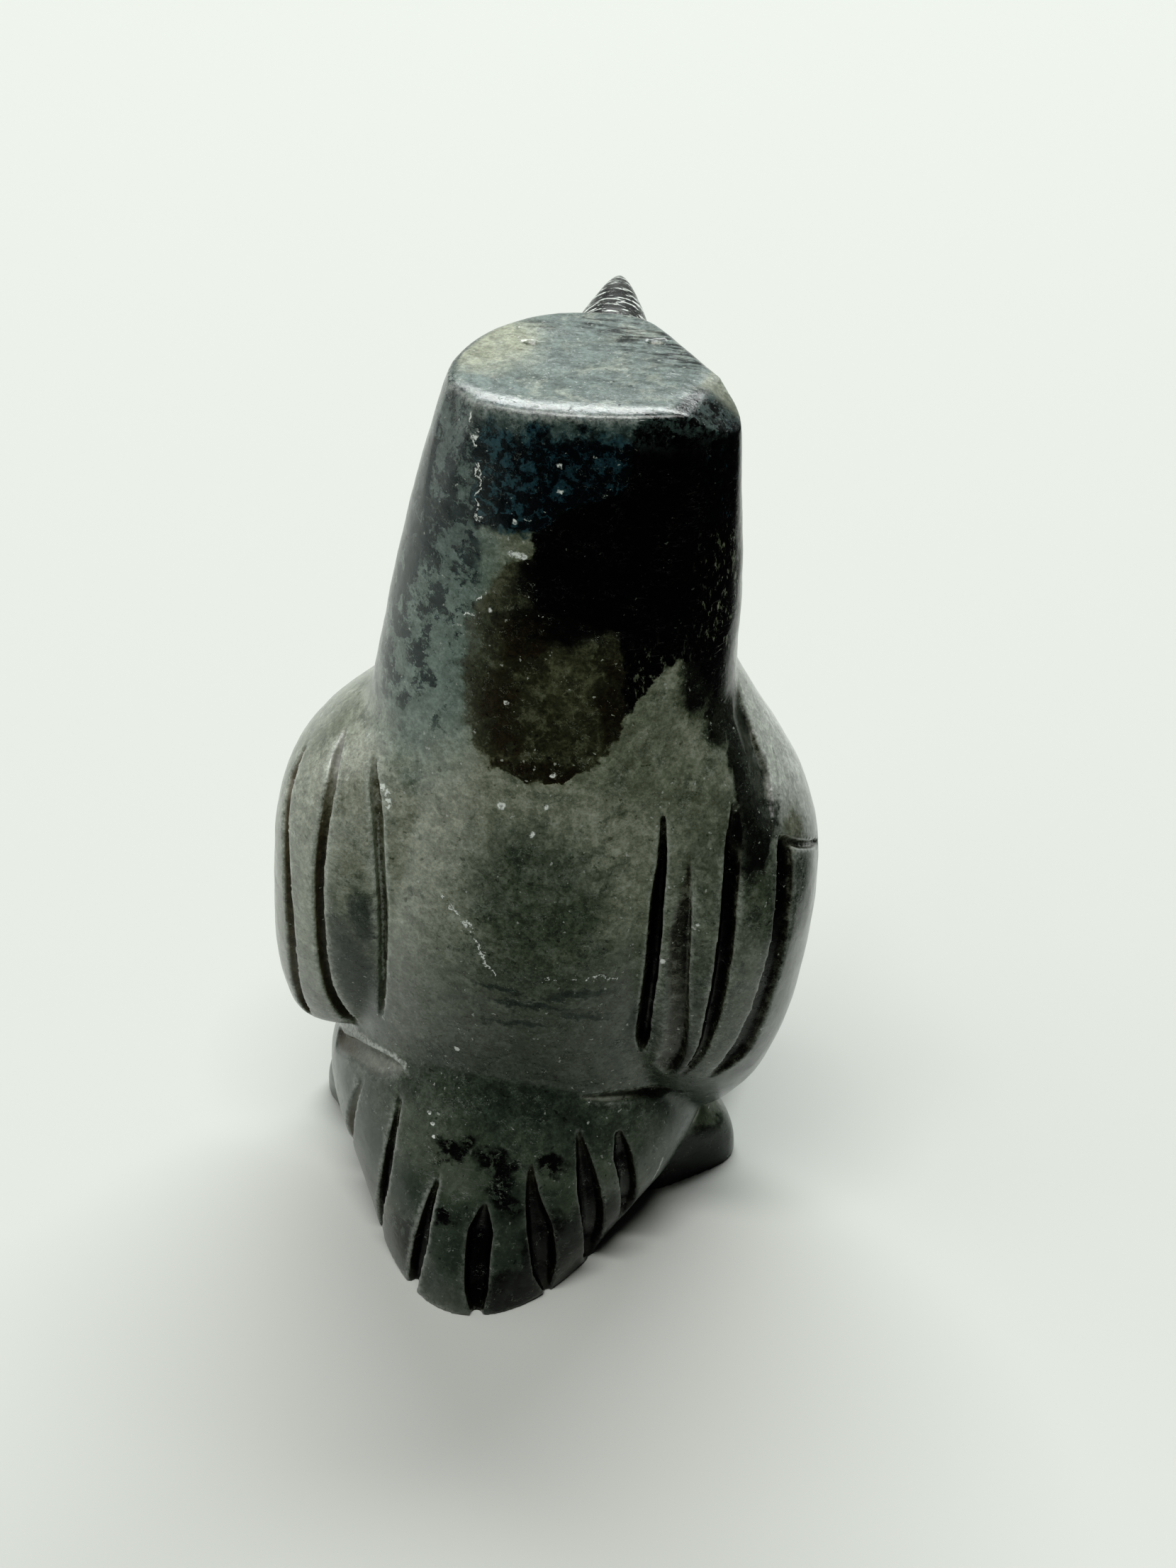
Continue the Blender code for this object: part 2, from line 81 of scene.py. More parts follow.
# The lights as name, place, what they face, width, height, how bright they look and colour
LIGHTS = (
    ("window", (-0.35, -1.5, 0.5), (-0.1, 0, 0.1), 3.2, 1, 0.25, (0.96, 1, 0.98)),
    ("pane", (0, -0.78, 1.05), (0, 0, 0.07), 1.3, 0.22, 26, (0.96, 1, 0.98)),
    ("overhead", (0.6, 0.45, 1.4), (0, 0, 0.05), 1, 1, 1.7, (1, 1, 0.98)),
    ("ceiling", (0, 0.22, 1.2), (0, 0, 0.07), 0.8, 0.16, 24, (1, 1, 0.97)),
    ("side", (1.4, -0.1, 0.7), (0, 0, 0.05), 1.2, 1.2, 1.15, (1, 1, 0.97)),
)
ROOM_COLOUR = (0.98, 1, 0.98)
ROOM_BRIGHTNESS = 0.04
FLOOR_COLOUR = (0.43, 0.443, 0.42)
FLOOR_REACH = 3.0

# The camera's response, as brightness in and out
RESPONSE = ((0, 0), (0.02, 0.006), (0.05, 0.036), (0.1, 0.097), (0.25, 0.255), (1, 1))

# A dark card that lies on the floor behind the penguin and on its right, and shows only in reflections
CARD_CORNERS = (
    (0.05, 0.04), (0.55, 2), (-1.8, 2), (-1.8, -1.2), (-0.5, -1.2), (-0.05, -0.03), (-0.055, 0.04),
)
CARD_HEIGHT = 0.0005
CARD_COLOUR = (0.01, 0.01, 0.01)

# Driving sizes of the figure
HEIGHT = 0.073  # from the underside to the flat crown
WING_SPAN = 0.0434  # across both wings
TAIL_REACH = 0.0227  # from the upright axis back to the tail's tip
BEAK_REACH = 0.0202  # from the upright axis forward to the beak's tip
TOE_REACH = 0.0195  # from the upright axis forward to the toes
FOOT_WIDTH = 0.0125
FOOT_HEIGHT = 0.0062

# How the carver left the block out of true
CROWN_LEAN = 0.0062  # how far the head stands to the penguin's right
LEAN_POWER = 1.9
BASE_TURN = math.radians(-3.6)
CROWN_TURN = math.radians(5)

# How the mesh is made
RING_SIDES = 16
SMOOTH_LEVELS = 3
BODY_GRAIN = 0.00035
BODY_BLEND = 16
CUT_GRAIN = 0.00018
CUT_BLEND = 2
BLADE_ROWS = 28
BLADE_LIFT = 0.0007
BLADE_LEAST = 0.12  # the share of its width and depth that a blade keeps where it runs out
V_MIDDLE = 0.5  # the shares of its width and depth at which a V's side is halfway
SQUARE_OUT = 0.3  # how much further out and down a square bottom takes that point
SQUARE_DOWN = 0.35
MOST_TRIANGLES = 190000
CURVE_STEPS = 12  # between two points of a path
EVENING_ROUNDS = 3
STANDOUT_ROUNDS = 6  # of smoothing, against which an edge stands proud
SOFTENING_ROUNDS = 2
TINY = 1e-9

# The figure's proportions are shares of its height, written as millimetres on a figure 73 mm tall
SHARE = HEIGHT / 73.0
HALF_SPAN = WING_SPAN / 2
LEFT, RIGHT = 1, -1
CROWN_BELT = 4 * SHARE  # the height over which points are looked at for the crown's edge
UNMARKED = 2 * SHARE  # the height over which the rubbing marks grow from nothing
UNCARVED = 2 * SHARE  # the height below the crown in which the cuts get none of their colouring

# The rounding of the crown's edge by the way it faces, in degrees round from straight back to the penguin's
# left: how far it reaches in over the crown and down the side, in millimetres on a figure 73 mm tall
CROWN_EDGE = (
    (-180, 0.5, 0.4), (-120, 0.6, 0.5), (-60, 0.9, 0.6), (-30, 1.3, 0.5), (0, 1.6, 0.5), (35, 1.6, 0.5),
    (60, 1.2, 0.5), (90, 0.8, 0.4), (180, 0.5, 0.4),
)

# The hollows and flats left by the rubbing down, as height in millimetres, waves for each millimetre and seed
MARKS = ((0.1, 0.13, 3), (0.05, 0.42, 11), (0.016, 1.5, 23))

# Trunk and head from the underside up: height, back, front, half width, squareness, front pinch
TRUNK = (
    (-4, 9, 11, 12, 2.4, 0), (6, 11, 13, 13.5, 2.4, 0), (15, 12.2, 14.6, 15.2, 2.4, 0),
    (26, 13.4, 15.6, 15.8, 2.4, 0), (36, 12.9, 15, 15.2, 2.4, 0), (44, 11.2, 13.2, 14.3, 2.4, 0),
    (51, 9.6, 11.2, 13.4, 2.5, 0.05), (58, 8.4, 10.2, 12.85, 2.7, 0.12),
    (65, 7.6, 10.4, 11.8, 2.8, 0.12), (71, 6.8, 10.3, 10.9, 2.8, 0.11), (77, 5.6, 8.9, 10, 2.8, 0.12),
)

# Wing from tip to shoulder: rise, share of the half span reached by the outer face on the left and on the
# right, half width, back, front
WING = (
    (0, 0.93, 0.81, 6, 7.6, 6.8), (3, 0.97, 0.945, 7.4, 9, 8), (9, 0.98, 1.01, 8.4, 10.4, 9.2),
    (16, 0.975, 1.035, 9, 11.2, 9.8), (23, 0.965, 1.03, 9.2, 11.2, 9.8),
    (28, 0.91, 0.94, 8.8, 10.6, 9.2), (32, 0.74, 0.82, 8, 9.6, 8.6),
    (36, 0.53, 0.67, 6.6, 8.4, 7.6), (41, 0.49, 0.55, 5, 7, 6.4),
)
WING_SQUARENESS = {LEFT: 2.4, RIGHT: 2.6}
WING_TOP = 52.0
WING_TIP = {LEFT: 16, RIGHT: 10.2}
TIP_SLANT = {LEFT: 0.8, RIGHT: 1.2}
TIP_DEPTH = {LEFT: 1, RIGHT: 0.66}  # how much of its back the wing keeps at its tip
TIP_RISE = 9.0  # over which it gets the rest
WING_TIP_CREASE = 0.9

# Tail skirt from the underside up: height, back as a share of the tail's reach, half width, squareness
SKIRT = (
    (-3, 1.02, 11, 2.1), (0, 1, 11.8, 2.1), (3, 0.94, 13.6, 2.2), (6, 0.86, 16.1, 2.2),
    (9, 0.76, 16.9, 2.3), (12, 0.67, 16, 2.3), (16, 0.58, 14.2, 2.3), (20, 0.5, 12, 2.3),
)
SKIRT_FRONT = 8.0
SKIRT_SHIFT = 0.7  # towards the penguin's left

# Foot from heel to toes: share of its length, inner and outer edge as shares of its width from its middle
# line, top as a share of its height
FOOT = (
    (0, -0.3, -0.04, 0.6), (0.05, -0.44, 0.1, 0.9), (0.12, -0.49, 0.26, 1),
    (0.18, -0.5, 0.4, 1), (0.24, -0.5, 0.48, 1), (0.29, -0.5, 0.47, 1),
    (0.35, -0.5, 0.4, 0.98), (0.43, -0.5, 0.27, 0.95), (0.6, -0.5, 0.29, 0.92),
    (0.8, -0.46, 0.36, 0.85), (0.94, -0.4, 0.28, 0.66), (1, -0.2, 0.1, 0.35),
)
FOOT_MIDDLE = {LEFT: 12.9, RIGHT: 12.3}
HEEL = 5.6
FOOT_SQUARENESS = 3.2

# Beak from root to tip: share of its length, half width, upper and lower depth, height
BEAK = (
    (-0.35, 4.8, 3.2, 6.4, 67.6), (0, 4, 3.1, 5.2, 68.2), (0.45, 3, 2.3, 2.9, 69.5),
    (0.86, 1.2, 1, 1.1, 70.8), (1, 0.35, 0.35, 0.35, 71.2),
)
BEAK_ROOT = 10.0
BEAK_SQUARENESS = 1.7

# A cut is its path, then its widths to the left and right of the path looking along it from outside, its
# depth, how square its bottom is, and the shares of its length over which it runs out at its start and end.
# On the back, wings and tail a path is of (azimuth, height), the azimuth in degrees from straight back round
# to the penguin's left.
GROOVES = {
    "left_wing_inner": (
        ((50, 45.3), (46.3, 44.1), (40.5, 41.8), (38.3, 38), (38.3, 33), (41.1, 26.3), (45.8, 19.4)),
        (0.42, 0.42, 0.85, 0.6, 0.2, 0.1),
    ),
    "left_wing_middle": (
        ((72, 44.6), (64, 43.8), (57, 42.6), (51.9, 40.3), (51.5, 34.5), (53.4, 26.7), (59, 16.4)),
        (0.8, 0.22, 0.8, 0.6, 0.25, 0.02),
    ),
    "left_wing_outer": (
        ((80, 41.8), (73.9, 40.6), (66, 37.9), (62.2, 33.9), (62.1, 26.7), (64.5, 22.1), (69, 16)),
        (1.1, 0.25, 0.9, 0.5, 0.25, 0.02),
    ),
    "right_wing_inner": (
        ((-54.8, 45.2), (-53.9, 43.5), (-51, 38.9), (-49, 34.5), (-47.4, 24.7), (-48.5, 19.8)),
        (0.52, 0.52, 1.3, 0.9, 0.45, 0.06),
    ),
    "right_wing_shallow": (
        ((-56.8, 41), (-54.5, 36.4), (-53.1, 30.5), (-53.6, 23.7), (-55.2, 17.2)),
        (1.7, 0.25, 0.6, 0.3, 0.35, 0.03),
    ),
    "right_wing_middle": (
        ((-68.6, 44), (-66.9, 42.6), (-63, 40.1), (-59.4, 35), (-57.2, 25.6), (-57.2, 20.4), (-57.1, 16.4)),
        (0.4, 0.95, 1.15, 0.6, 0.18, 0.35),
    ),
    "right_wing_outer": (
        ((-75, 39.4), (-73.4, 38.1), (-70.2, 34.9), (-67.8, 30.2), (-65.8, 25.6), (-64, 21.5), (-62, 16.8)),
        (0.45, 1.8, 1.15, 0.6, 0.06, 0.15),
    ),
    "shoulder_edge": (
        ((-92, 48.6), (-87.5, 47.2), (-84.8, 45.7), (-82.3, 43.7), (-79, 42.3), (-75.5, 40.9), (-73, 39.6)),
        (3, 0.15, 0.5, 0.2, 0.3, 0.2),
    ),
    "wing_notch": (
        ((-74.4, 39.3), (-79.6, 37.5), (-87, 35.4), (-95, 33.4)),
        (0.35, 0.45, 0.6, 0.4, 0.1, 0.2),
    ),
    "tail_1": (
        ((33.2, 15.2), (31, 9.8), (30.6, 6.8), (33.2, 2), (33.6, -1)),
        (0.7, 0.7, 1.1, 0.8, 0.6, 0),
    ),
    "tail_2": (
        ((13.4, 10.6), (14.8, 7.3), (15.2, 4.7), (16.2, 1.5), (16.6, -1.2)),
        (0.7, 0.7, 1.2, 0.8, 0.6, 0.15),
    ),
    "tail_3": (
        ((-0.1, 8.6), (0.5, 5.9), (0.4, 3.4), (-0.1, 0.2), (-0.2, -1.2)),
        (1, 1, 1.35, 0.9, 0.25, 0.4),
    ),
    "tail_4": (
        ((-12.3, 11.8), (-12.8, 8.9), (-14.6, 6.3), (-15.4, 2.6), (-16, -0.5)),
        (1.05, 1.05, 1.3, 0.8, 0.5, 0.3),
    ),
    "tail_5": (
        ((-27.6, 13.8), (-28.2, 11.1), (-28.4, 8.4), (-29.2, 3.2), (-29.5, 0)),
        (1, 1, 1.2, 0.8, 0.4, 0.1),
    ),
    "tail_6": (((-40.3, 13), (-40.1, 9.7), (-40.7, 3.6)), (0.9, 0.9, 1.1, 0.8, 0.3, 0.1)),
    "right_ledge": (
        ((-25.4, 15.9), (-37.6, 15.7), (-44.9, 15.3), (-54.2, 14.6), (-60, 14), (-65, 13.9)),
        (0.8, 0.12, 0.6, 0.3, 0.4, 0.15),
    ),
    "left_ledge": (
        ((75, 12.9), (68, 13.6), (61.5, 14.7), (55.5, 15.3), (45.7, 16), (37.3, 16.2), (31, 15.7)),
        (2.2, 0.15, 0.6, 0.1, 0.05, 0.35),
    ),
    "left_foot_crease": (
        ((48.5, 13.6), (49.5, 11.4), (50.5, 8.4), (53.5, 4.4), (57, 0)),
        (1.4, 0.25, 1.1, 0.3, 0.4, 0),
    ),
}

# On the feet a path is of points near the surface. The toes' are for the upright figure's left foot.
TOE_PATHS = (
    ((12.2, -8, 6), (14.2, -13, 5.8), (15.2, -17.5, 4.2), (15.6, -20.5, 0.5)),
    ((10.2, -8.5, 6), (10.8, -14, 5.8), (10.8, -18, 4.2), (10.6, -20.8, 0.5)),
)
TOE_CUT = (0.55, 0.55, 1, 0.5, 0.3, 0.1)

# The front edge of each wing and one feather, as azimuths and heights for the left wing
FRONT_CUTS = (
    (((150, 46), (138, 42), (133, 36), (131, 29), (131, 23)), (0.25, 1.6, 0.55, 0.3, 0.3, 0.3)),
    (((112, 42), (107, 36), (105, 29), (105, 22)), (0.8, 0.3, 0.6, 0.3, 0.3, 0.3)),
)

# Two short nicks on the crown
EYES = (((-1.3, -3.5, 73), (-0.1, -3.3, 73)), ((-9.9, -5.1, 73), (-8.5, -4.8, 73)))
EYE_CUT = (0.35, 0.35, 0.35, 0.8, 0.3, 0.3)

# Corners taken off the head with a flat cut, each a point on the cut, the way it faces and its size
HEAD_CORNERS = {
    "crown_corner": ((-13.4, 0.6, 73), (-0.62, 0.16, 0.77), 10),
    "nape_corner": ((3.6, 4.2, 70.4), (0.66, 0.7, 0.27), 16),
}

# Flat faces dressed on the block, each by a point on it and the way it faces
RIGHT_CHEEK = ((-11.8, -4.3, 73), (-0.8, -0.6, 0.14))
TAIL_CORNER = ((8.3, 16.9, 0), (0.8, 0.6, 0.04))


# The stone's colours, as reflectances, some of which also paint light and shade onto the stone
GREY_GREEN = (0.125, 0.138, 0.104)
PALE_GREEN = (0.24, 0.26, 0.21)
TEAL = (0.085, 0.125, 0.11)
DARK_GREEN_AND_SHADE = (0.021, 0.028, 0.025)
BLUE_BLACK = (0.004, 0.009, 0.012)
BAND_BLUE = (0.022, 0.044, 0.052)
BAND_GREEN = (0.06, 0.08, 0.076)
BLACK = (0.0008, 0.0011, 0.001)
OLIVE = (0.036, 0.037, 0.024)
PALE_OLIVE = (0.07, 0.073, 0.05)
BROWN = (0.019, 0.015, 0.008)
CROWN_CREAM = (0.25, 0.265, 0.195)
CROWN_GREEN = (0.125, 0.155, 0.145)
GROOVE_BROWN = (0.05, 0.038, 0.02)
DEEP_GROOVE_DARK = (0.012, 0.01, 0.005)
GROOVE_GREY = (0.15, 0.16, 0.135)
CHALK_AND_SHEEN = (0.42, 0.45, 0.41)
CRYSTAL_AND_GLINT = (0.75, 0.8, 0.75)

# Edges of the head's black zone and of the olive drop below it, as height and how far to the penguin's left
BLACK_LEFT_EDGE = (
    (50.8, -9.7), (52.4, -9.4), (55, -9.2), (57.4, -8.9), (58.2, -5.4), (58.8, -3), (60, -3.1),
    (62, -3), (64, -2.8), (65.2, -4), (66.6, -6.6), (68, -9.2), (73, -9.6),
)
DROP_LEFT_EDGE = (
    (45.4, -3.6), (46.3, -0.5), (47.9, 1.4), (50.4, 2.2), (54.2, 2.2), (57.5, 1.8), (59.3, 0.7),
    (61.6, -0.8), (62.8, -2.8),
)
DROP_RIGHT_EDGE = ((45.4, -3.8), (46, -5.6), (47.6, -8), (49.7, -9.2), (52, -9.9), (62.8, -9.9))

# The black zone's lower edge, as how far to the penguin's left and height
BLACK_LOWER_EDGE = (
    (-17, 54.5), (-15.9, 51.5), (-15.2, 50), (-14.9, 51.7), (-14.1, 53.9), (-13, 54.6), (-11.6, 54.1),
    (-10.5, 52.3), (-9.6, 50.6), (-6, 50.6),
)

# How much of the neck's left side is blotched, as height and share
NECK_BLOTCHED = ((46, 0), (50, 0.15), (54, 0.3), (58, 0.44), (62, 0.56), (67, 0.5), (73, 0.42))

# Patches painted on the stone, most of them its own tones and some of them painted light and shade, as
# centre, radii, softness and turn, in millimetres and degrees on a 73 mm figure
TEAL_NECK = (((5.5, 6, 57.5), (6, 8, 13), 0.7), ((4.5, 5, 68), (3.8, 6, 6), 0.5))
# LOW_BACK darkens the lower and middle back: partly the stone's darker tone, partly painted shade where less
# light reaches
LOW_BACK = (
    ((-3, 12, 22.5), (12.5, 9, 11.5), 0.9), ((-14.2, 9, 24), (2, 6, 9.5), 0.9),
    ((-3.2, 12, 35.5), (5.6, 6, 7), 0.9),
)
DARK_SHOULDER = (
    ((-14.2, 5.8, 52.2), (1.3, 3, 2.6), 0.7), ((-15.8, 4.2, 48.8), (1.3, 2.6, 2.4), 0.6),
    ((-17.4, 4, 46), (1.4, 2.3, 2.2), 0.5), ((-18.6, 4.6, 43.6), (1.5, 2.2, 2.2), 0.5),
    ((-19.2, 5.8, 41.2), (1.6, 2.2, 2.2), 0.5), ((-18.6, 7.6, 39.4), (1.5, 2, 2.8), 0.7),
    ((-14.4, 10, 21), (0.9, 2, 4), 0.9), ((-20.6, 7.2, 19.6), (1.3, 1.6, 1.5), 0.8),
    ((-19.4, 7, 17), (1.5, 1.8, 1.1), 0.8),
)
# Painted sheen: the pale, light-catching face of the right shoulder
PAINTED_SHOULDER_SHEEN = (((-20.2, -1.6, 45), (4.6, 8, 10), 0.95),)
RIGHT_BROWN = (((-21, 3.4, 38.6), (1.4, 2, 1.6), 0.8),)
SMUDGES = (
    ((-11.5, 9.4, 23.5), (1.5, 2, 2.2), 0.9), ((-6.6, 11.7, 27.2), (2.8, 2, 0.42), 0.8, (0, 6, 0)),
    ((-3.4, 12.3, 26), (3.4, 2, 0.36), 0.8, (0, -5, 0)),
    ((-7.4, 12.3, 24.9), (2.6, 2, 0.34), 0.8, (0, -8, 0)),
    ((-2, 13.3, 24), (3, 2, 0.3), 0.8, (0, 4, 0)),
    ((-0.6, 13.3, 27.6), (1.8, 2, 0.34), 0.8, (0, -12, 0)), ((10.3, 10.8, 31), (1.1, 3, 3.2), 0.9),
    ((11.4, 9.4, 24), (2, 4, 7.6), 0.9, (0, 8, 0)),
)
OLIVE_STREAK = (
    ((-0.4, 8, 60.4), (0.9, 3, 2.6), 0.9, (0, -28, 0)),
    ((-5.4, 9.4, 53.6), (1.6, 3, 3.6), 0.9, (0, 10, 0)),
)
DROP_SHADE = (((-4.8, 8, 61.6), (3.2, 3, 4.4), 0.9, (0, 20, 0)), ((-5, 8, 57.6), (4.4, 3, 1.6), 0.9))
BROWN_HEART = (
    ((-2.2, 8.8, 56.2), (2.2, 3, 1.9), 0.8), ((-0.6, 9.6, 50.4), (1.7, 3, 3.6), 0.9, (0, 8, 0)),
    ((-8.6, 8.8, 52), (1, 3, 3.6), 0.8), ((-3.4, 10.6, 46.4), (4, 3, 0.7), 0.8),
)
TAIL_BLACKS = (
    ((3, 14.9, 11.8), (1.9, 2, 0.8), 0.9, (0, 14, 0)),
    ((-0.9, 15.3, 11.3), (1.7, 2, 0.9), 0.9, (0, -4, 0)),
    ((-1.3, 16.7, 9.4), (1.2, 2, 2.4), 0.9, (0, 24, 0)),
    ((-4.8, 14.9, 11.1), (1.3, 2, 0.7), 0.9, (0, 10, 0)), ((3.2, 17.9, 7.2), (1.1, 2, 0.6), 0.9),
    ((6.6, 17.7, 3.4), (1.7, 2.6, 2.6), 0.9),
)
# The tail's lower right: black stone with painted shade where its underside faces away from the light
LOWER_BLACKS = (
    ((-2.6, 19.6, 1.6), (2.8, 3.4, 2), 0.5), ((-5.4, 17.4, 3.6), (2.4, 4, 4.2), 0.5),
    ((-8.6, 14.8, 3.4), (3.2, 5, 4.8), 0.5), ((-12, 12.6, 2.4), (3, 5, 3.6), 0.6),
)
# The right foot: black stone on its low side with painted shade where it faces away from the light, and
# painted light on its top
FOOT_BLACKS = (((-15.4, 5.5, 1.6), (6, 6, 3.4), 0.4),)
FOOT_TOP_PAINTED_LIGHT = (((-16, 2, 6.5), (3.4, 5, 2), 0.8),)
PALE_BACK = (
    ((5.5, 11, 37), (5.5, 6, 13), 0.9), ((8.5, 9, 47), (7, 6, 5), 0.9),
    ((14.4, 8, 31), (2, 5, 12), 0.9),
)
CROWN_SHADE = (
    ((-8.9, -5, 73), (5.6, 1.8, 2), 0.9, (0, 0, 143)), ((-3.6, -7, 73), (3.4, 1.2, 2), 0.9, (0, 0, 15)),
)
CROWN_OLIVE = (((2.2, -3, 73), (3.2, 4.2, 2), 0.9),)

# Pale crystals' places by their half widths
CRYSTALS = {
    0.3: ((-0.9, 11.1, 43.6),),
    0.26: ((-2.2, 7.8, 62.6), (-1.8, 7.8, 62.7), (8.3, 9.7, 43.1)),
    0.23: ((-1.4, 7.8, 62.7), (-4.2, 10.9, 43.8), (3, 12.2, 20), (13.9, 7.9, 20.6)),
    0.21: ((-12.9, 10.9, 30.4),),
    0.19: (
        (-3.2, 11.5, 41.6), (-17.4, 9.4, 32.8), (0.1, 8.2, 58.3), (-4.6, 10.4, 46.3), (-17.8, 5, 4.6),
    ),
    0.18: (
        (-1.1, 9.4, 51.5), (5.2, 13.4, 13.8), (-4.6, 7, 69.3), (-4.7, 7.2, 67.4), (-1.6, 7.5, 65),
        (-17.7, 7.4, 40.1),
    ),
    0.16: ((4.9, 13.9, 13.1), (-15.4, 10.7, 34.2), (0.9, 8, 58)),
    0.14: ((4.7, 14.4, 12.2), (-16.8, 9.8, 31.4)),
}

# The dark band painted along the right shoulder over its trough, up to the crease where the wing begins
SHOULDER_DARK_BAND = (
    (((-14.8, 3.4, 52), (-15.4, 2.4, 49.4), (-16.2, 2.6, 47)), 2.2),
    (((-16.2, 2.6, 47), (-17.2, 3.9, 44.8), (-18, 5.1, 43)), 2.1),
    (((-18, 5.1, 43), (-18.6, 6.6, 41), (-18.7, 7.6, 39.4)), 1.7),
)

# Scratches, with a painted highlight down the nape's ridge among them, and edges worn or polished bright, as
# the points they run through and half width
SCRATCHES_AND_NAPE_HIGHLIGHT = (
    (((4.3, 11.8, 35.5), (1.8, 12.5, 33.6), (-0.5, 12.9, 28.7)), 0.15),
    (((2.8, 12.3, 34.6), (0.2, 12.8, 31)), 0.07), (((-4.1, 12.8, 28.8), (-9.5, 11.3, 28.8)), 0.1),
    # Painted highlight down the nape's ridge, where the back of the head meets its left side
    (((1.6, 5.4, 71.6), (1.3, 6, 70.4)), 0.26),
    (((1.3, 6, 70.4), (0.9, 6.8, 67.6), (0.9, 7.2, 65)), 0.14),
    (((1.9, 8.2, 57.6), (0.6, 8, 59.6)), 0.14), (((8.1, 9.8, 43.4), (7.9, 10.2, 41.8)), 0.24),
)
WORN_EDGES = (
    (
        (
            (15.2, 3.7, 13.1), (13.3, 6.4, 15.1), (11.9, 7.9, 15.8),
            (10.1, 9.5, 16.2), (8.6, 10.4, 16.5), (7.7, 11, 16.3),
        ),
        0.42,
    ),
    (((8.9, 9.7, 40.4), (8.8, 10.3, 36.8), (8.8, 10.2, 33.1), (9, 10.1, 28.3), (9.4, 9.6, 24)), 0.16),
    (((-15.9, 7.9, 13.8), (-14.2, 9.3, 10.2), (-12.4, 10.7, 6.4)), 0.2),
)

# Heights on a 73 mm figure: over which the crown begins, and at which zones of the head end
ONTO_CROWN = (72.8, 72.95)
BAND_BOTTOM = 64.2
DROP_BOTTOM = 45.5
DROP_TOP = 62.8

# The noise that blotches the neck where it is least blotched, and how far that falls where it is most
BLOTCHES_START = 0.635
BLOTCHES_SPREAD = 0.27

# The finish
POLISH = (0.11, 0.21)  # the roughness where the stone is best and least polished
DUST_ROUGHNESS = 0.3
STONE_IOR = 1.55
BUMP_STRENGTH = 0.35
BUMP_DEPTH = 0.00012


def posed(point):
    """A point of the upright figure where the leaning, twisted one has it."""
    rise = max(0.0, point.z / HEIGHT)
    turn = BASE_TURN + (CROWN_TURN - BASE_TURN) * rise
    moved = Matrix.Rotation(turn, 3, "Z") @ point
    moved.x -= CROWN_LEAN * rise**LEAN_POWER
    return moved


def shaved(point, face):
    """The point, or where it lands on the dressed face if it stands out beyond it."""
    place, facing = Vector(face[0]) * SHARE, Vector(face[1]).normalized()
    beyond = (point - place).dot(facing)
    return point - facing * max(0.0, beyond)


def section(height, back, front, half_width, power, pinch=0.0, across=0.0):
    """One level ring: a superellipse that may be deeper at the back or front and narrower in front."""
    points = []
    for step in range(RING_SIDES):
        angle = 2 * math.pi * step / RING_SIDES
        c, s = math.cos(angle), math.sin(angle)
        reach = (abs(c) ** power + abs(s) ** power) ** (-1 / power)
        narrow = 1.0 - pinch * max(0.0, -s * reach)
        x = half_width * reach * c * narrow
        y = (back if s > 0 else front) * reach * s
        points.append(Vector((across + x, y, height)))
    return points


def add_object(name, data, collection=bpy.context.scene.collection):
    item = bpy.data.objects.new(name, data)
    collection.objects.link(item)
    return item


def add_shape(name, shape, collection=WORKSHOP):
    mesh = bpy.data.meshes.new(name)
    shape.to_mesh(mesh)
    shape.free()
    return add_object(name, mesh, collection)


def skin(name, rows, creased_ends=(0.0, 0.0), levels=SMOOTH_LEVELS):
    """A closed skin through rows of equal count, rounded by subdivision."""
    shape = bmesh.new()
    rows = [[shape.verts.new(p) for p in row] for row in rows]
    count = len(rows[0])
    for low, high in zip(rows, rows[1:]):
        for i in range(count):
            j = (i + 1) % count
            shape.faces.new((low[i], low[j], high[j], high[i]))
    ends = (shape.faces.new(list(reversed(rows[0]))), shape.faces.new(rows[-1]))
    crease = shape.edges.layers.float.new("crease_edge")
    for face, amount in zip(ends, creased_ends):
        for edge in face.edges:
            edge[crease] = amount
    bmesh.ops.recalc_face_normals(shape, faces=shape.faces)
    if shape.calc_volume(signed=True) < 0:
        bmesh.ops.reverse_faces(shape, faces=shape.faces)
    item = add_shape(name, shape)
    if levels:
        rounding = item.modifiers.new("rounding", "SUBSURF")
        rounding.levels = rounding.render_levels = levels
    return item


def trunk():
    rings = []
    for z, b, f, w, power, pinch in TRUNK:
        ring = section(z * SHARE, b * SHARE, f * SHARE, w * SHARE, power, pinch)
        rings.append([shaved(posed(p), RIGHT_CHEEK) for p in ring])
    return skin("trunk", rings)


def wing(side):
    """One wing, with a flat lower end that slants down outwards."""
    tip = WING_TIP[side]
    stretch = (WING_TOP - tip) / WING[-1][0]
    rings = []
    for rise, left, right, w, b, f in WING:
        reach = left if side == LEFT else right
        middle = side * (HALF_SPAN * reach - w * SHARE)
        height = (tip + rise * stretch) * SHARE
        back = b * (1 - (1 - TIP_DEPTH[side]) * max(0.0, 1 - rise / TIP_RISE))
        ring = section(height, back * SHARE, f * SHARE, w * SHARE, WING_SQUARENESS[side], across=middle)
        if rise == 0:
            for p in ring:
                p.z -= TIP_SLANT[side] * SHARE * side * (p.x - middle) / (w * SHARE)
        rings.append([posed(p) for p in ring])
    return skin("wing", rings, creased_ends=(WING_TIP_CREASE, 0.0))


def skirt():
    rings = []
    for z, reach, w, power in SKIRT:
        back, front = TAIL_REACH * reach, SKIRT_FRONT * SHARE
        ring = section(z * SHARE, back, front, w * SHARE, power, across=SKIRT_SHIFT * SHARE)
        rings.append([shaved(posed(p), TAIL_CORNER) for p in ring])
    return skin("skirt", rings)


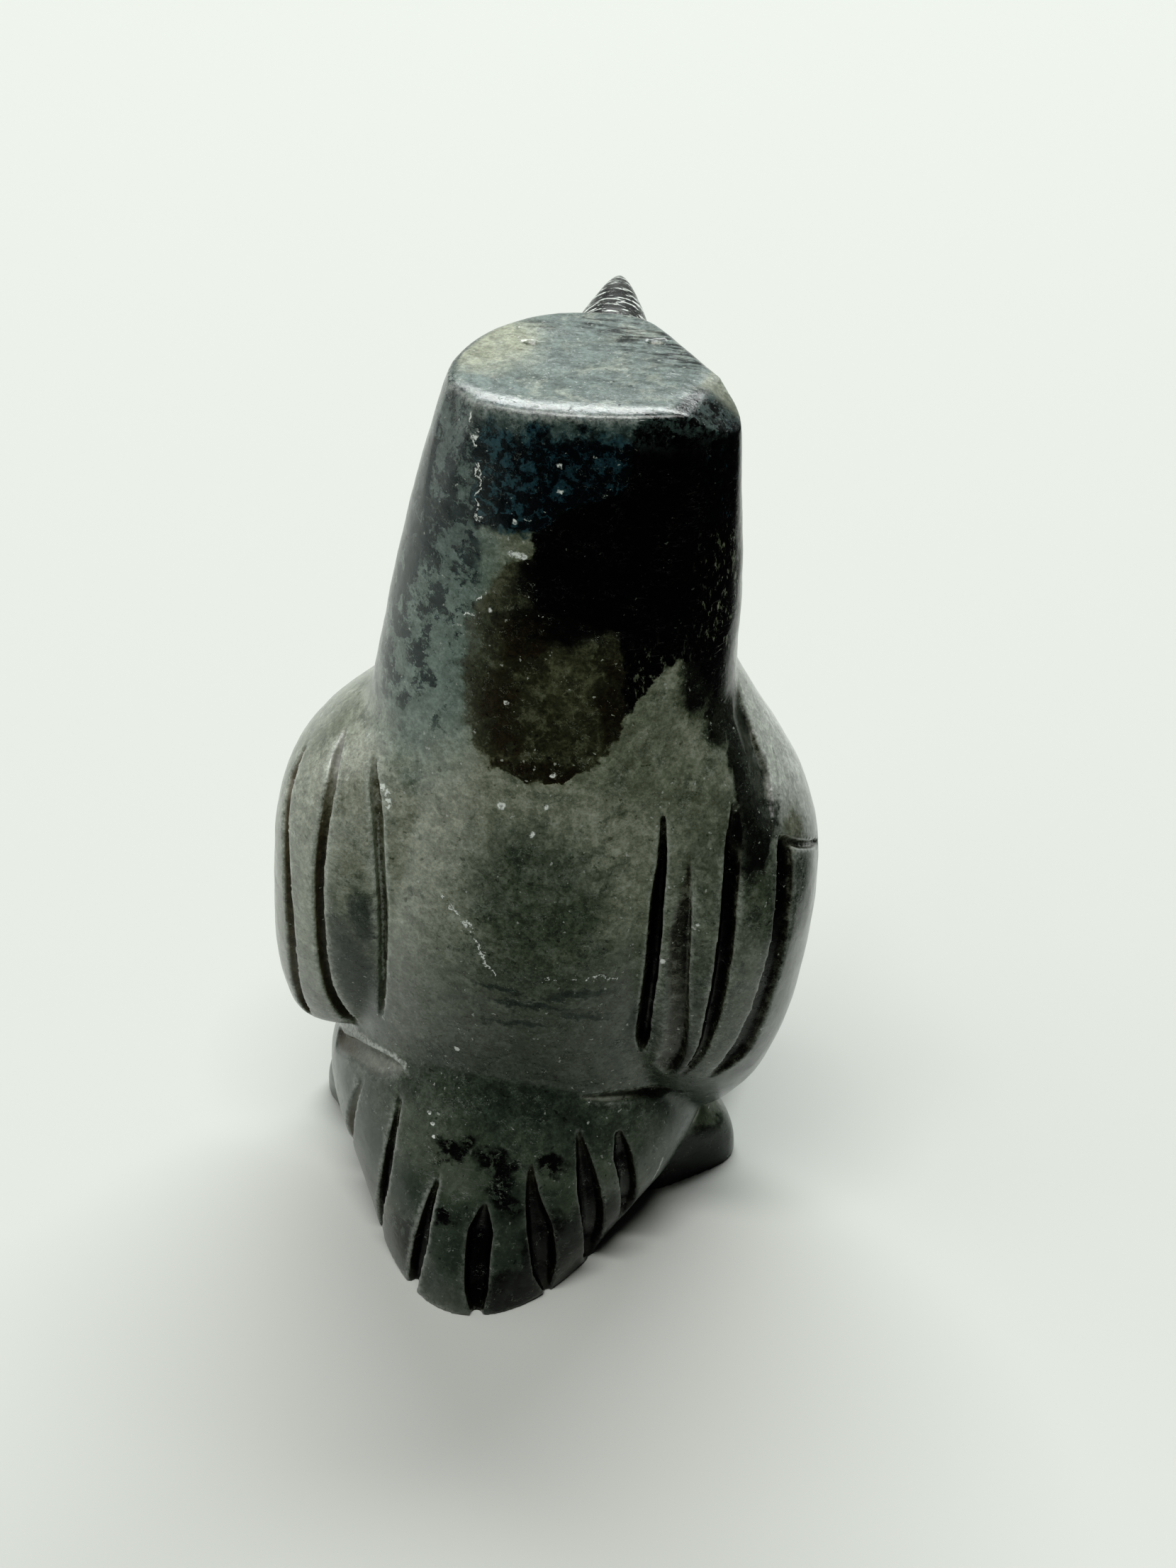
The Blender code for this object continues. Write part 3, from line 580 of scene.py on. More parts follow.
def foot(side):
    """A foot, its outer lobe by the heel and its toes under the breast."""
    middle = FOOT_MIDDLE[side] * SHARE
    heel = HEEL * SHARE
    rings = []
    for share, inner, outer, top in FOOT:
        y = heel - share * (heel + TOE_REACH)
        across = side * (middle + FOOT_WIDTH * (inner + outer) / 2)
        half_width = FOOT_WIDTH * (outer - inner) / 2
        ring = section(0, FOOT_HEIGHT * top, FOOT_HEIGHT * top, half_width, FOOT_SQUARENESS, across=across)
        rings.append([posed(Vector((p.x, y, p.y))) for p in ring])
    return skin("foot", rings)


def beak():
    root = BEAK_ROOT * SHARE
    rings = []
    for share, w, up, down, z in BEAK:
        y = -(root + share * (BEAK_REACH - root))
        ring = section(0, up * SHARE, down * SHARE, w * SHARE, BEAK_SQUARENESS)
        rings.append([posed(Vector((p.x, y, z * SHARE + p.y))) for p in ring])
    return skin("beak", rings)


def modified(item):
    """The object's mesh as its modifiers leave it."""
    graph = bpy.context.evaluated_depsgraph_get()
    graph.update()
    return bpy.data.meshes.new_from_object(item.evaluated_get(graph))


def joined(name, pieces):
    """One object of all the pieces, still overlapping."""
    whole = bmesh.new()
    for piece in pieces:
        mesh = modified(piece)
        whole.from_mesh(mesh)
        bpy.data.meshes.remove(mesh)
    return add_shape(name, whole, bpy.context.scene.collection)


def settle(item):
    """Makes what the modifiers leave the object's own mesh."""
    mesh = modified(item)
    item.modifiers.clear()
    item.data = mesh


def fuse(item, grain, steps):
    """One closed skin over everything that overlaps, blended by so many steps of smoothing."""
    remesh = item.modifiers.new("fusing", "REMESH")
    remesh.mode = "VOXEL"
    remesh.voxel_size = grain
    smooth = item.modifiers.new("blending", "SMOOTH")
    smooth.factor = 0.5
    smooth.iterations = steps
    settle(item)


def slab(name, centre, facing, size):
    """A block with one face at centre, lying on the side that facing points to."""
    shape = bmesh.new()
    bmesh.ops.create_cube(shape, size=size)
    bmesh.ops.translate(shape, verts=shape.verts, vec=(0, 0, size / 2))
    rotation = Vector(facing).to_track_quat("Z", "Y").to_matrix().to_4x4()
    bmesh.ops.transform(shape, matrix=Matrix.Translation(centre) @ rotation, verts=shape.verts)
    return add_shape(name, shape)


def cut(item, cutter):
    cutter.display_type = "WIRE"
    cutting = item.modifiers.new(cutter.name, "BOOLEAN")
    cutting.operation = "DIFFERENCE"
    cutting.solver = "MANIFOLD"
    cutting.object = cutter


def curve_through(points):
    """Evenly stepped points on a smooth curve through the given ones."""
    ends = [points[0]] + list(points) + [points[-1]]
    fine = []
    for a, b, c, d in zip(ends, ends[1:], ends[2:], ends[3:]):
        for step in range(CURVE_STEPS):
            t = step / CURVE_STEPS
            bend = (2 * a - 5 * b + 4 * c - d) * t * t + (3 * b - a - 3 * c + d) * t**3
            fine.append(b + ((c - a) * t + bend) / 2)
    fine.append(points[-1])
    lengths = [0.0]
    for p, q in zip(fine, fine[1:]):
        lengths.append(lengths[-1] + (q - p).length)
    picked = []
    for row in range(BLADE_ROWS):
        goal = lengths[-1] * row / (BLADE_ROWS - 1)
        k = max(1, next((i for i, reach in enumerate(lengths) if reach >= goal), len(fine) - 1))
        share = (goal - lengths[k - 1]) / max(TINY, lengths[k] - lengths[k - 1])
        picked.append(fine[k - 1].lerp(fine[k], min(1.0, share)))
    return picked


def surface_of(item):
    shape = bmesh.new()
    shape.from_mesh(item.data)
    tree = BVHTree.FromBMesh(shape)
    shape.free()
    return tree


def spots_around(surface, path):
    """Where a path of (azimuth, height) meets the surface, with the way the surface faces there."""
    spots = []
    for azimuth, height, _ in curve_through([Vector((a, h, 0)) for a, h in path]):
        outward = Vector((math.sin(math.radians(azimuth)), math.cos(math.radians(azimuth)), 0))
        start = outward * HEIGHT + Vector((0, 0, height * SHARE))
        place, facing, _, _ = surface.ray_cast(start, -outward)
        spots.append((place, facing))
    return spots


def spots_near(surface, path):
    """The surface spots nearest to a path of points."""
    points = curve_through([Vector(p) * SHARE for p in path])
    return [surface.find_nearest(p)[:2] for p in points]


def evened(spots):
    """The spots with each place and facing drawn towards its neighbours'."""
    for _ in range(EVENING_ROUNDS):
        inner = [
            ((a[0] + b[0] * 2 + c[0]) / 4, (a[1] + b[1] * 2 + c[1]).normalized())
            for a, b, c in zip(spots, spots[1:], spots[2:])
        ]
        spots = [spots[0]] + inner + [spots[-1]]
    return spots


def frames(spots):
    """How far along it is, the place, and the ways across the path and out of the stone, at every spot."""
    spots = evened(spots)
    last = len(spots) - 1
    for i, (place, facing) in enumerate(spots):
        ahead = spots[min(i + 1, last)][0] - spots[max(i - 1, 0)][0]
        across = ahead.cross(facing).normalized()
        yield i / last, place, across, across.cross(ahead).normalized()


def run_at(along, start, end):
    """How much of its size a cut has there, as it runs out over shares of its length at its start and end."""
    run_in = along / start if start else 1.0
    run_out = (1 - along) / end if end else 1.0
    return min(1.0, BLADE_LEAST + min(run_in, run_out))


def blade(name, spots, shape):
    """A cutter along the spots that runs out at its ends: a V, or a trough as its bottom squares off."""
    left, right, depth = (size * SHARE for size in shape[:3])
    square, start, end = shape[3:]
    rows = []
    for along, place, across, up in frames(spots):
        run = run_at(along, start, end)
        near, far, low = left * run, -right * run, -depth * run
        out, down = V_MIDDLE + SQUARE_OUT * square, low * (V_MIDDLE + SQUARE_DOWN * square)
        far_side = ((far, BLADE_LIFT), (far, 0.0), (far * out, down))
        near_side = ((near * out, down), (near, 0.0), (near, BLADE_LIFT))
        outline = (*far_side, (0.0, low), *near_side)
        rows.append([place + across * x + up * z for x, z in outline])
    return skin(name, rows, levels=0)


def dressed(penguin):
    """Takes the corners off the head."""
    for name, (place, facing, size) in HEAD_CORNERS.items():
        cut(penguin, slab(name, Vector(place) * SHARE, facing, size * SHARE))
    settle(penguin)


def score(penguin):
    """Cuts every groove into the fused body."""
    surface = surface_of(penguin)
    for name, (path, shape) in GROOVES.items():
        cut(penguin, blade(name, spots_around(surface, path), shape))
    for side in (LEFT, RIGHT):
        for path in TOE_PATHS:
            path = [posed(Vector((side * x, y, z)) * SHARE) / SHARE for x, y, z in path]
            cut(penguin, blade("toe_cut", spots_near(surface, path), TOE_CUT))
        for path, (near, far, *rest) in FRONT_CUTS:
            path = [(side * azimuth, height) for azimuth, height in path]
            shape = (near, far, *rest) if side == LEFT else (far, near, *rest)
            cut(penguin, blade("front_cut", spots_around(surface, path), shape))
    settle(penguin)


def thinned(item):
    """Draws the triangles together where the surface is flattest."""
    triangles = sum(len(face.vertices) - 2 for face in item.data.polygons)
    thin = item.modifiers.new("facets", "DECIMATE")
    thin.ratio = MOST_TRIANGLES / triangles
    settle(item)


def mesh_points(mesh, values="co"):
    """The places of a mesh's points, or their normals, a row for each."""
    found = np.empty(len(mesh.vertices) * 3)
    mesh.vertices.foreach_get(values, found)
    return found.reshape(-1, 3)


def set_points(mesh, points):
    mesh.vertices.foreach_set("co", points.ravel())
    mesh.update()


def depths_below(surface, points):
    """How far each point lies inside the surface, in millimetres of a 73 mm figure."""
    depths = np.empty(len(points))
    for i, point in enumerate(points):
        depths[i] = surface.find_nearest(Vector(point))[3]
    return depths / SHARE


def round_crown(mesh, whole):
    """Rounds the edge of the crown, most at its back, where the photograph shows two bright lines."""
    points = mesh_points(mesh)
    near = np.where(points[:, 2] > HEIGHT - CROWN_BELT)[0]
    inside = depths_below(whole, points[near])
    below = (HEIGHT - points[near, 2]) / SHARE
    middle = np.array(posed(Vector((0, 0, HEIGHT)))[:2])
    out = points[near, :2] - middle
    out /= np.maximum(np.linalg.norm(out, axis=1, keepdims=True), TINY)
    faces = np.degrees(np.arctan2(out[:, 0], out[:, 1]))
    azimuths, reaches_in, reaches_down = zip(*CROWN_EDGE)
    wide = np.interp(faces, azimuths, reaches_in)
    tall = np.interp(faces, azimuths, reaches_down)
    across = np.minimum(inside - wide, 0.0)
    down = np.minimum(below - tall, 0.0)
    reach = np.maximum(np.hypot(across / wide, down / tall), 1.0)
    share = (1 / reach - 1) * SHARE
    points[near, :2] -= out * (across * share)[:, None]
    points[near, 2] -= down * share
    set_points(mesh, points)


def tool_marks(mesh):
    """The slight hollows and flats that rubbing down by hand leaves, none of them on the underside."""
    points = mesh_points(mesh)
    normals = mesh_points(mesh, "normal")
    rise = np.empty(len(points))
    for i, point in enumerate(points):
        place = Vector(point) / SHARE
        rise[i] = sum(size * noise.noise(place * rate + Vector((seed, 0, 0))) for size, rate, seed in MARKS)
    rise *= np.clip(points[:, 2] / UNMARKED, 0, 1) * SHARE
    set_points(mesh, points + normals * rise[:, None])


def convexity(mesh):
    """How much each point stands out from its neighbours."""
    points = mesh_points(mesh)
    normals = mesh_points(mesh, "normal")
    ends = np.empty(len(mesh.edges) * 2, np.int64)
    mesh.edges.foreach_get("vertices", ends)
    a, b = ends.reshape(-1, 2).T
    count = np.bincount(a, minlength=len(points)) + np.bincount(b, minlength=len(points))

    def around(values):
        total = np.zeros_like(values)
        np.add.at(total, a, values[b])
        np.add.at(total, b, values[a])
        return total / count.reshape(-1, *[1] * (values.ndim - 1))

    smooth = points
    for _ in range(STANDOUT_ROUNDS):
        smooth = (smooth + around(smooth)) / 2
    out = ((points - smooth) * normals).sum(axis=1) / SHARE
    for _ in range(SOFTENING_ROUNDS):
        out = (out + around(out)) / 2
    return out


def write_attribute(mesh, name, values):
    layer = mesh.attributes.new(name, "FLOAT", "POINT")
    layer.data.foreach_set("value", values.astype(np.float32))


def carve():
    """The stone piece: the part's forms fused on a fine grain, cut, worn and marked."""
    pieces = [trunk(), wing(LEFT), wing(RIGHT), skirt(), foot(LEFT), foot(RIGHT), beak()]
    stone = joined("penguin_stone", pieces)
    fuse(stone, BODY_GRAIN, BODY_BLEND)
    dressed(stone)
    whole = surface_of(stone)
    score(stone)
    cut(stone, slab("crown_cut", posed(Vector((0, 0, HEIGHT))), (0, 0, 1), HEIGHT))
    cut(stone, slab("ground_cut", Vector(), (0, 0, -1), 2 * HEIGHT))
    settle(stone)
    fuse(stone, CUT_GRAIN, CUT_BLEND)
    round_crown(stone.data, whole)
    tool_marks(stone.data)
    surface = surface_of(stone)
    for path in EYES:
        cut(stone, blade("eye", spots_near(surface, path), EYE_CUT))
    settle(stone)
    thinned(stone)
    mesh = stone.data
    points = mesh_points(mesh)
    points[:, 2] = np.maximum(points[:, 2], 0.0)
    set_points(mesh, points)
    write_attribute(mesh, "carved", depths_below(whole, points) * (points[:, 2] < HEIGHT - UNCARVED))
    write_attribute(mesh, "proud", convexity(mesh))
    mesh.polygons.foreach_set("use_smooth", np.ones(len(mesh.polygons), bool))
    for item in list(WORKSHOP.objects):
        bpy.data.objects.remove(item, do_unlink=True)
    return stone


class Wire:
    """An output of a node. Arithmetic on wires adds nodes, and a | b is the larger of the two."""

    def __init__(self, socket):
        self.socket = socket

    def __add__(self, other):
        return sums("ADD", self, other)

    def __sub__(self, other):
        return sums("SUBTRACT", self, other)

    def __rsub__(self, other):
        return sums("SUBTRACT", other, self)

    def __mul__(self, other):
        return sums("MULTIPLY", self, other)

    def __truediv__(self, other):
        return sums("DIVIDE", self, other)

    def __or__(self, other):
        return sums("MAXIMUM", self, other)


def put(kind, inputs=(), out=0, **settings):
    """Adds a node to the stone's shader, sets or links its inputs and hands back one of its outputs."""
    node = TREE.nodes.new("ShaderNode" + kind)
    for key, value in settings.items():
        setattr(node, key, value)
    for key, value in dict(inputs).items():
        if isinstance(value, Wire):
            TREE.links.new(value.socket, node.inputs[key])
        else:
            node.inputs[key].default_value = value
    return Wire(node.outputs[out])


def sums(operation, a, b=0.0):
    return put("Math", {0: a, 1: b}, operation=operation)


def gathered(operation, wires):
    """One operation carried through several wires."""
    found = wires[0]
    for wire in wires[1:]:
        found = sums(operation, found, wire)
    return found


def vector(operation, a, b, out=0):
    return put("VectorMath", {0: a, 3 if operation == "SCALE" else 1: b}, out=out, operation=operation)


def ramp(value, low, high, to_low=0.0, to_high=1.0):
    """The value carried smoothly from one range to another."""
    sockets = {"Value": value, "From Min": low, "From Max": high, "To Min": to_low, "To Max": to_high}
    return put("MapRange", sockets, interpolation_type="SMOOTHSTEP")


def cloud(place, scale, detail=3.0, roughness=0.55, seed=0.0, out=0):
    """Noise of about 0 to 1 over a place in millimetres."""
    moved = put("Mapping", {"Vector": place, "Location": (seed, -seed, seed * 0.7)})
    sockets = {"Vector": moved, "Scale": scale, "Detail": detail, "Roughness": roughness}
    return put("TexNoise", sockets, out=out, noise_dimensions="3D")


def strokes(place, stretch, turn, scale, detail=5.0, roughness=0.7, seed=0.0):
    """Noise drawn out into streaks."""
    drawn = put("Mapping", {"Vector": place, "Scale": stretch, "Rotation": turn})
    return cloud(drawn, scale, detail, roughness, seed)


def blob(place, centre, radii, soft, turn=(0, 0, 0)):
    """One inside an ellipsoid, falling to nothing over its soft share."""
    turned = tuple(math.radians(angle) for angle in turn)
    sockets = {"Vector": place, "Location": centre, "Rotation": turned, "Scale": radii}
    local = put("Mapping", sockets, vector_type="TEXTURE")
    length = put("VectorMath", {0: local}, out=1, operation="LENGTH")
    return ramp(length, 1.0 + soft / 2, 1.0 - soft / 2)


def patches(place, table):
    """A mask of every patch in a table."""
    return gathered("MAXIMUM", [blob(place, *row) for row in table])


def crystal_mask(place):
    near = []
    for size, spots in CRYSTALS.items():
        near += [vector("DISTANCE", place, spot, out=1) / size for spot in spots]
    return ramp(gathered("MINIMUM", near), 1.25, 0.75)


def line_mask(place, table, full=0.4):
    """One along each line of a table, by how near a point is to the runs between the line's points."""
    shares = []
    for line, width in table:
        for start, end in zip(line, line[1:]):
            run = Vector(end) - Vector(start)
            way = tuple(run.normalized())
            local = vector("SUBTRACT", place, start)
            along = sums("MAXIMUM", vector("DOT_PRODUCT", local, way, out=1), 0.0)
            on_line = vector("SCALE", way, sums("MINIMUM", along, run.length))
            shares.append(vector("DISTANCE", local, on_line, out=1) / width)
    return ramp(gathered("MINIMUM", shares), 1.0, full)


def traced(along, table):
    """A value that follows a table of places and values, with straight runs between its rows."""
    places, values = zip(*table)
    low, high = min(values), max(values)
    share = put("MapRange", {0: along, 1: places[0], 2: places[-1], 3: 0.0, 4: 1.0})
    node = TREE.nodes.new("ShaderNodeFloatCurve")
    TREE.links.new(share.socket, node.inputs["Value"])
    curve = node.mapping.curves[0]
    spots = [((p - places[0]) / (places[-1] - places[0]), (v - low) / (high - low)) for p, v in table]
    curve.points[0].location = spots[0]
    curve.points[1].location = spots[-1]
    for spot in spots[1:-1]:
        curve.points.new(*spot)
    for point in curve.points:
        point.handle_type = "VECTOR"
    node.mapping.update()
    return put("MapRange", {0: Wire(node.outputs[0]), 1: 0.0, 2: 1.0, 3: low, 4: high})


def past(value, edge, soft):
    """One where a value is above an edge, easing over a soft width."""
    return ramp(value - edge, -soft, soft)


def parts_of(place):
    """The x, y and z of a vector."""
    split = TREE.nodes.new("ShaderNodeSeparateXYZ")
    TREE.links.new(place.socket, split.inputs[0])
    return tuple(Wire(socket) for socket in split.outputs)


def wandering(place, scale, reach, seed):
    """The place moved about by noise, so that what is drawn there gets ragged edges."""
    shift = vector("SUBTRACT", cloud(place, scale, 5.0, 0.62, seed, out=1), (0.5, 0.5, 0.5))
    return vector("ADD", place, vector("SCALE", shift, reach))


def painted(under, over, mask, blend="MIX"):
    """One colour over another where the mask is."""
    under, over = (side if isinstance(side, Wire) else (*side, 1.0) for side in (under, over))
    return put("Mix", {0: mask, 6: under, 7: over}, out=2, data_type="RGBA", blend_type=blend)


def layered(colour, *layers):
    """The colour with each layer painted over it in turn, given as the layer's colour and where it is."""
    for over, mask in layers:
        colour = painted(colour, over, mask)
    return colour


def ground_colour(place, noises):
    """The body's grey green, pale on the left of the back, darker below partly with painted shade, with
    painted shade on the right and a painted sheen on the right shoulder's face.
    """
    ragged, frayed, broad, mottle, curds = noises
    x, _, z = parts_of(place)
    face = patches(ragged, PAINTED_SHOULDER_SHEEN) * ramp(broad, 0.3, 0.6, 0.6, 1.0)
    return layered(
        GREY_GREEN,
        (PALE_GREEN, ramp(broad, 0.42, 0.66) * 0.45),
        (PALE_GREEN, patches(ragged, PALE_BACK) * 0.75),
        (DARK_GREEN_AND_SHADE, ramp(mottle, 0.5, 0.7) * 0.55),
        (CHALK_AND_SHEEN, ramp(curds, 0.55, 0.72) * 0.14),
        (TEAL, patches(ragged, TEAL_NECK) * 0.85),
        # Darker towards the bottom: partly the stone's darker tone, partly painted shade
        (DARK_GREEN_AND_SHADE, ramp(z, 30, 9) * ramp(broad, 0.7, 0.35, 0.62, 0.9)),
        (DARK_GREEN_AND_SHADE, patches(ragged, LOW_BACK) * 0.6),
        # Painted shade on the right of the back and on the right wing's outer face, which turn away from the
        # light
        (DARK_GREEN_AND_SHADE, ramp(x, -9, -17, 0, 0.5) * ramp(z, 52, 38)),
        (DARK_GREEN_AND_SHADE, ramp(x, -19.5, -21.5) * 0.6),
        # Painted sheen on the right shoulder's face
        (CHALK_AND_SHEEN, face * ramp(mottle, 0.3, 0.55, 0.35, 0.7)),
        (PALE_OLIVE, patches(frayed, RIGHT_BROWN) * 0.8),
        (DARK_GREEN_AND_SHADE, patches(frayed, SMUDGES) * 0.92),
    )


def head_colour(colour, place, noises):
    """The crown, the mottled band round the head, the olive drop, the black zone, and the black beak with
    painted highlights streaked across it.
    """
    ragged, frayed, _, mottle, curds = noises
    x, y, z = parts_of(place)
    fx, _, fz = parts_of(frayed)
    _, ragged_y, _ = parts_of(ragged)
    on_crown = ramp(z, *ONTO_CROWN)
    below_crown = 1 - on_crown
    behind = ramp(y, 0.6, 2.2)
    hairs = ramp(strokes(place, (0.35, 1.8, 1), (0, 0, 0.5), 1.3, seed=91), 0.44, 0.6)

    neck = past(fx, 0.9, 0.5) * ramp(y, -6, -2) * below_crown
    blotch_edge = BLOTCHES_START - traced(z, NECK_BLOTCHED) * BLOTCHES_SPREAD - ramp(x, 3.5, 8, 0, 0.07)
    blotched = neck * past(cloud(frayed, 0.55, 7, 0.7, 41), blotch_edge, 0.03) * ramp(z, 46, 50)
    band = past(1.3, fx, 0.3) * past(fz, BAND_BOTTOM, 0.5) * behind * below_crown
    drop = past(traced(fz, DROP_LEFT_EDGE), fx, 0.5) * past(fx, traced(fz, DROP_RIGHT_EDGE), 0.2)
    drop = drop * past(fz, DROP_BOTTOM, 0.3) * past(DROP_TOP, fz, 1.2) * behind
    black = past(traced(fz, BLACK_LEFT_EDGE), fx, 0.25) * past(fz, traced(fx, BLACK_LOWER_EDGE), 0.3)
    black = black * behind * below_crown
    at_edge = ramp(x, -13, -15.4) | ramp(z, 58, 52.5, 0, 0.8)
    worn = at_edge * ramp(strokes(place, (1.5, 1.5, 0.7), (0, 0.75, 0), 1.6, seed=9), 0.54, 0.62)
    on_beak = ramp(ragged_y, -9.6, -10.6) * ramp(z, 62, 64)
    # Streaks across the beak, painted as highlights and raised as brush marks in the bump
    lines = ramp(strokes(place, (0.5, 2.4, 1), (0, 0, 0), 1.1, seed=63), 0.55, 0.6)
    colour = layered(
        colour,
        (CROWN_GREEN, on_crown),
        (CROWN_CREAM, patches(ragged, CROWN_OLIVE) * on_crown * 0.85),
        (DARK_GREEN_AND_SHADE, on_crown * hairs * ramp(x, 3, -8) * 0.42),
        (PALE_GREEN, on_crown * ramp(mottle, 0.5, 0.64) * 0.5),
        (BLACK, patches(ragged, CROWN_SHADE) * hairs * 0.9),
        (BAND_GREEN, neck * ramp(z, 57, 64) * 0.8),
        (BLUE_BLACK, blotched * 0.92),
        (BLUE_BLACK, band),
        (BAND_BLUE, band * ramp(curds, 0.49, 0.56) * 0.9),
        (BAND_GREEN, band * ramp(fz, 70.6, 71.8) * ramp(mottle, 0.36, 0.56) * 0.9),
        (OLIVE, drop * ramp(curds, 0.7, 0.42, 0.75, 0.96)),
        (PALE_OLIVE, patches(ragged, OLIVE_STREAK) * drop * 0.55),
        (BLACK, patches(ragged, DROP_SHADE) * drop * 0.92),
        (BROWN, patches(ragged, BROWN_HEART) * drop * ramp(curds, 0.38, 0.52) * 0.9),
        (BLACK, black * (1 - worn * 0.85)),
        (BAND_GREEN, black * ramp(z, 69.5, 72) * ramp(curds, 0.44, 0.56) * 0.55),
        (BLACK, on_beak),
        # Painted highlights streaked across the beak
        (CRYSTAL_AND_GLINT, on_beak * lines * ramp(z, 69.6, 70.8) * 0.8),
    )
    return colour, black, on_crown, on_beak, lines


def stone_colour(place, carved, proud):
    """The colours of the polished stone, with painted light and shade among them, painted one over another,
    and the masks that its finish takes up.
    """
    x, _, z = parts_of(place)
    ragged = wandering(place, 0.5, 4.0, 5)
    frayed = wandering(place, 1.1, 2.2, 15)
    scuffed = wandering(place, 2.5, 0.5, 77)
    broad = cloud(place, 0.11, seed=17)
    mottle = cloud(ragged, 0.5, 7, 0.68, 31)
    curds = cloud(frayed, 1.0, 6, 0.66, 37)
    grain = cloud(place, 3.2, 6, 0.75, 47)
    noises = (ragged, frayed, broad, mottle, curds)
    colour = ground_colour(place, noises)
    colour, black, on_crown, on_beak, lines = head_colour(colour, place, noises)

    shoulder_dark = line_mask(wandering(place, 1.5, 0.6, 29), SHOULDER_DARK_BAND, 0.86) | patches(frayed, DARK_SHOULDER)
    cut_in = ramp(carved, 0.06, 0.3) * (1 - shoulder_dark * ramp(z, 38.5, 40.5))
    deep = cut_in * ramp(carved, 0.35, 0.8)
    on_tail = ramp(z, 15, 12.5) * ramp(x, 12, 9)
    right_side_and_tail = ramp(x, -9, -12) | on_tail
    outer_left = ramp(x, 12, 13.6)
    lip = ramp(proud, 0.012, 0.05) * ramp(grain, 0.34, 0.58, 0.3, 1.0)
    lip = lip * (1 - cut_in * 0.8) * (1 - black * 0.85) * (1 - on_crown * 0.9) * (1 - shoulder_dark * 0.7)
    lip = lip * (1 - on_tail * ramp(x, 4, 0) * 0.8) * ramp(x, -8, -12, 1.0, 0.5)
    colour = layered(
        colour,
        (BLACK, patches(ragged, TAIL_BLACKS) * ramp(curds, 0.4, 0.5) * 0.92),
        # Black stone with painted shade on the tail's lower right
        (BLACK, patches(frayed, LOWER_BLACKS) * ramp(curds, 0.66, 0.5, 0.7, 1.0) * 0.96),
        # Painted light on the right foot's top, and black stone with painted shade on its low side
        (PALE_GREEN, patches(frayed, FOOT_TOP_PAINTED_LIGHT) * 0.7),
        (BLACK, patches(frayed, FOOT_BLACKS) * 0.88),
        # The dark band along the right shoulder
        (BLACK, shoulder_dark * 0.86),
        (GROOVE_GREY, cut_in * (1 - on_tail) * 0.7),
        (GROOVE_BROWN, cut_in * outer_left * 0.85),
        (GROOVE_BROWN, deep * ramp(curds, 0.62, 0.44, 0.05, 0.55)),
        # The cuts painted darker with depth, most of all on the right side and the tail
        (DEEP_GROOVE_DARK, cut_in * right_side_and_tail * ramp(curds, 0.66, 0.4, 0.5, 0.95)),
        (BLACK, deep * (right_side_and_tail | outer_left * 0.6) * 0.96),
        (CHALK_AND_SHEEN, lip * 0.36),
    )
    above_tail = ramp(z, 8, 17, 0.35, 1.0)
    for tone in (ramp(grain, 0.36, 0.64), ramp(curds, 0.4, 0.62)):
        tone = put("CombineColor", {0: tone, 1: tone, 2: tone})
        colour = painted(colour, tone, above_tail * 0.22, blend="OVERLAY")
    contour = strokes(frayed, (0.45, 0.45, 1.6), (0, -0.7, 0), 0.9, 3, 0.55, 101)
    hairline = ramp(sums("ABSOLUTE", contour - 0.5), 0.006, 0.002) * ramp(mottle, 0.46, 0.58)
    crystals = crystal_mask(scuffed) * ramp(grain, 0.42, 0.5, 0.15, 1.0)
    specks = ramp(cloud(place, 2.1, 2, seed=71), 0.7, 0.74) * above_tail * (1 - black * 0.7)
    colour = layered(
        colour,
        (CHALK_AND_SHEEN, hairline * (1 - black * 0.6) * 0.3),
        # Pale crystals and scratches, with a painted highlight down the nape's ridge
        (CRYSTAL_AND_GLINT, (crystals | line_mask(frayed, SCRATCHES_AND_NAPE_HIGHLIGHT)) * (1 - cut_in) * 0.8),
        (CHALK_AND_SHEEN, line_mask(scuffed, WORN_EDGES) * ramp(grain, 0.4, 0.56, 0.25, 1.0) * 0.75),
        (CHALK_AND_SHEEN, specks * 0.5),
        (BLACK, ramp(cloud(place, 1.5, 2, seed=83), 0.67, 0.72) * 0.45),
    )
    dusty = cut_in * (1 - right_side_and_tail * 0.9)
    return colour, (mottle, grain, dusty, lip, on_beak, lines)


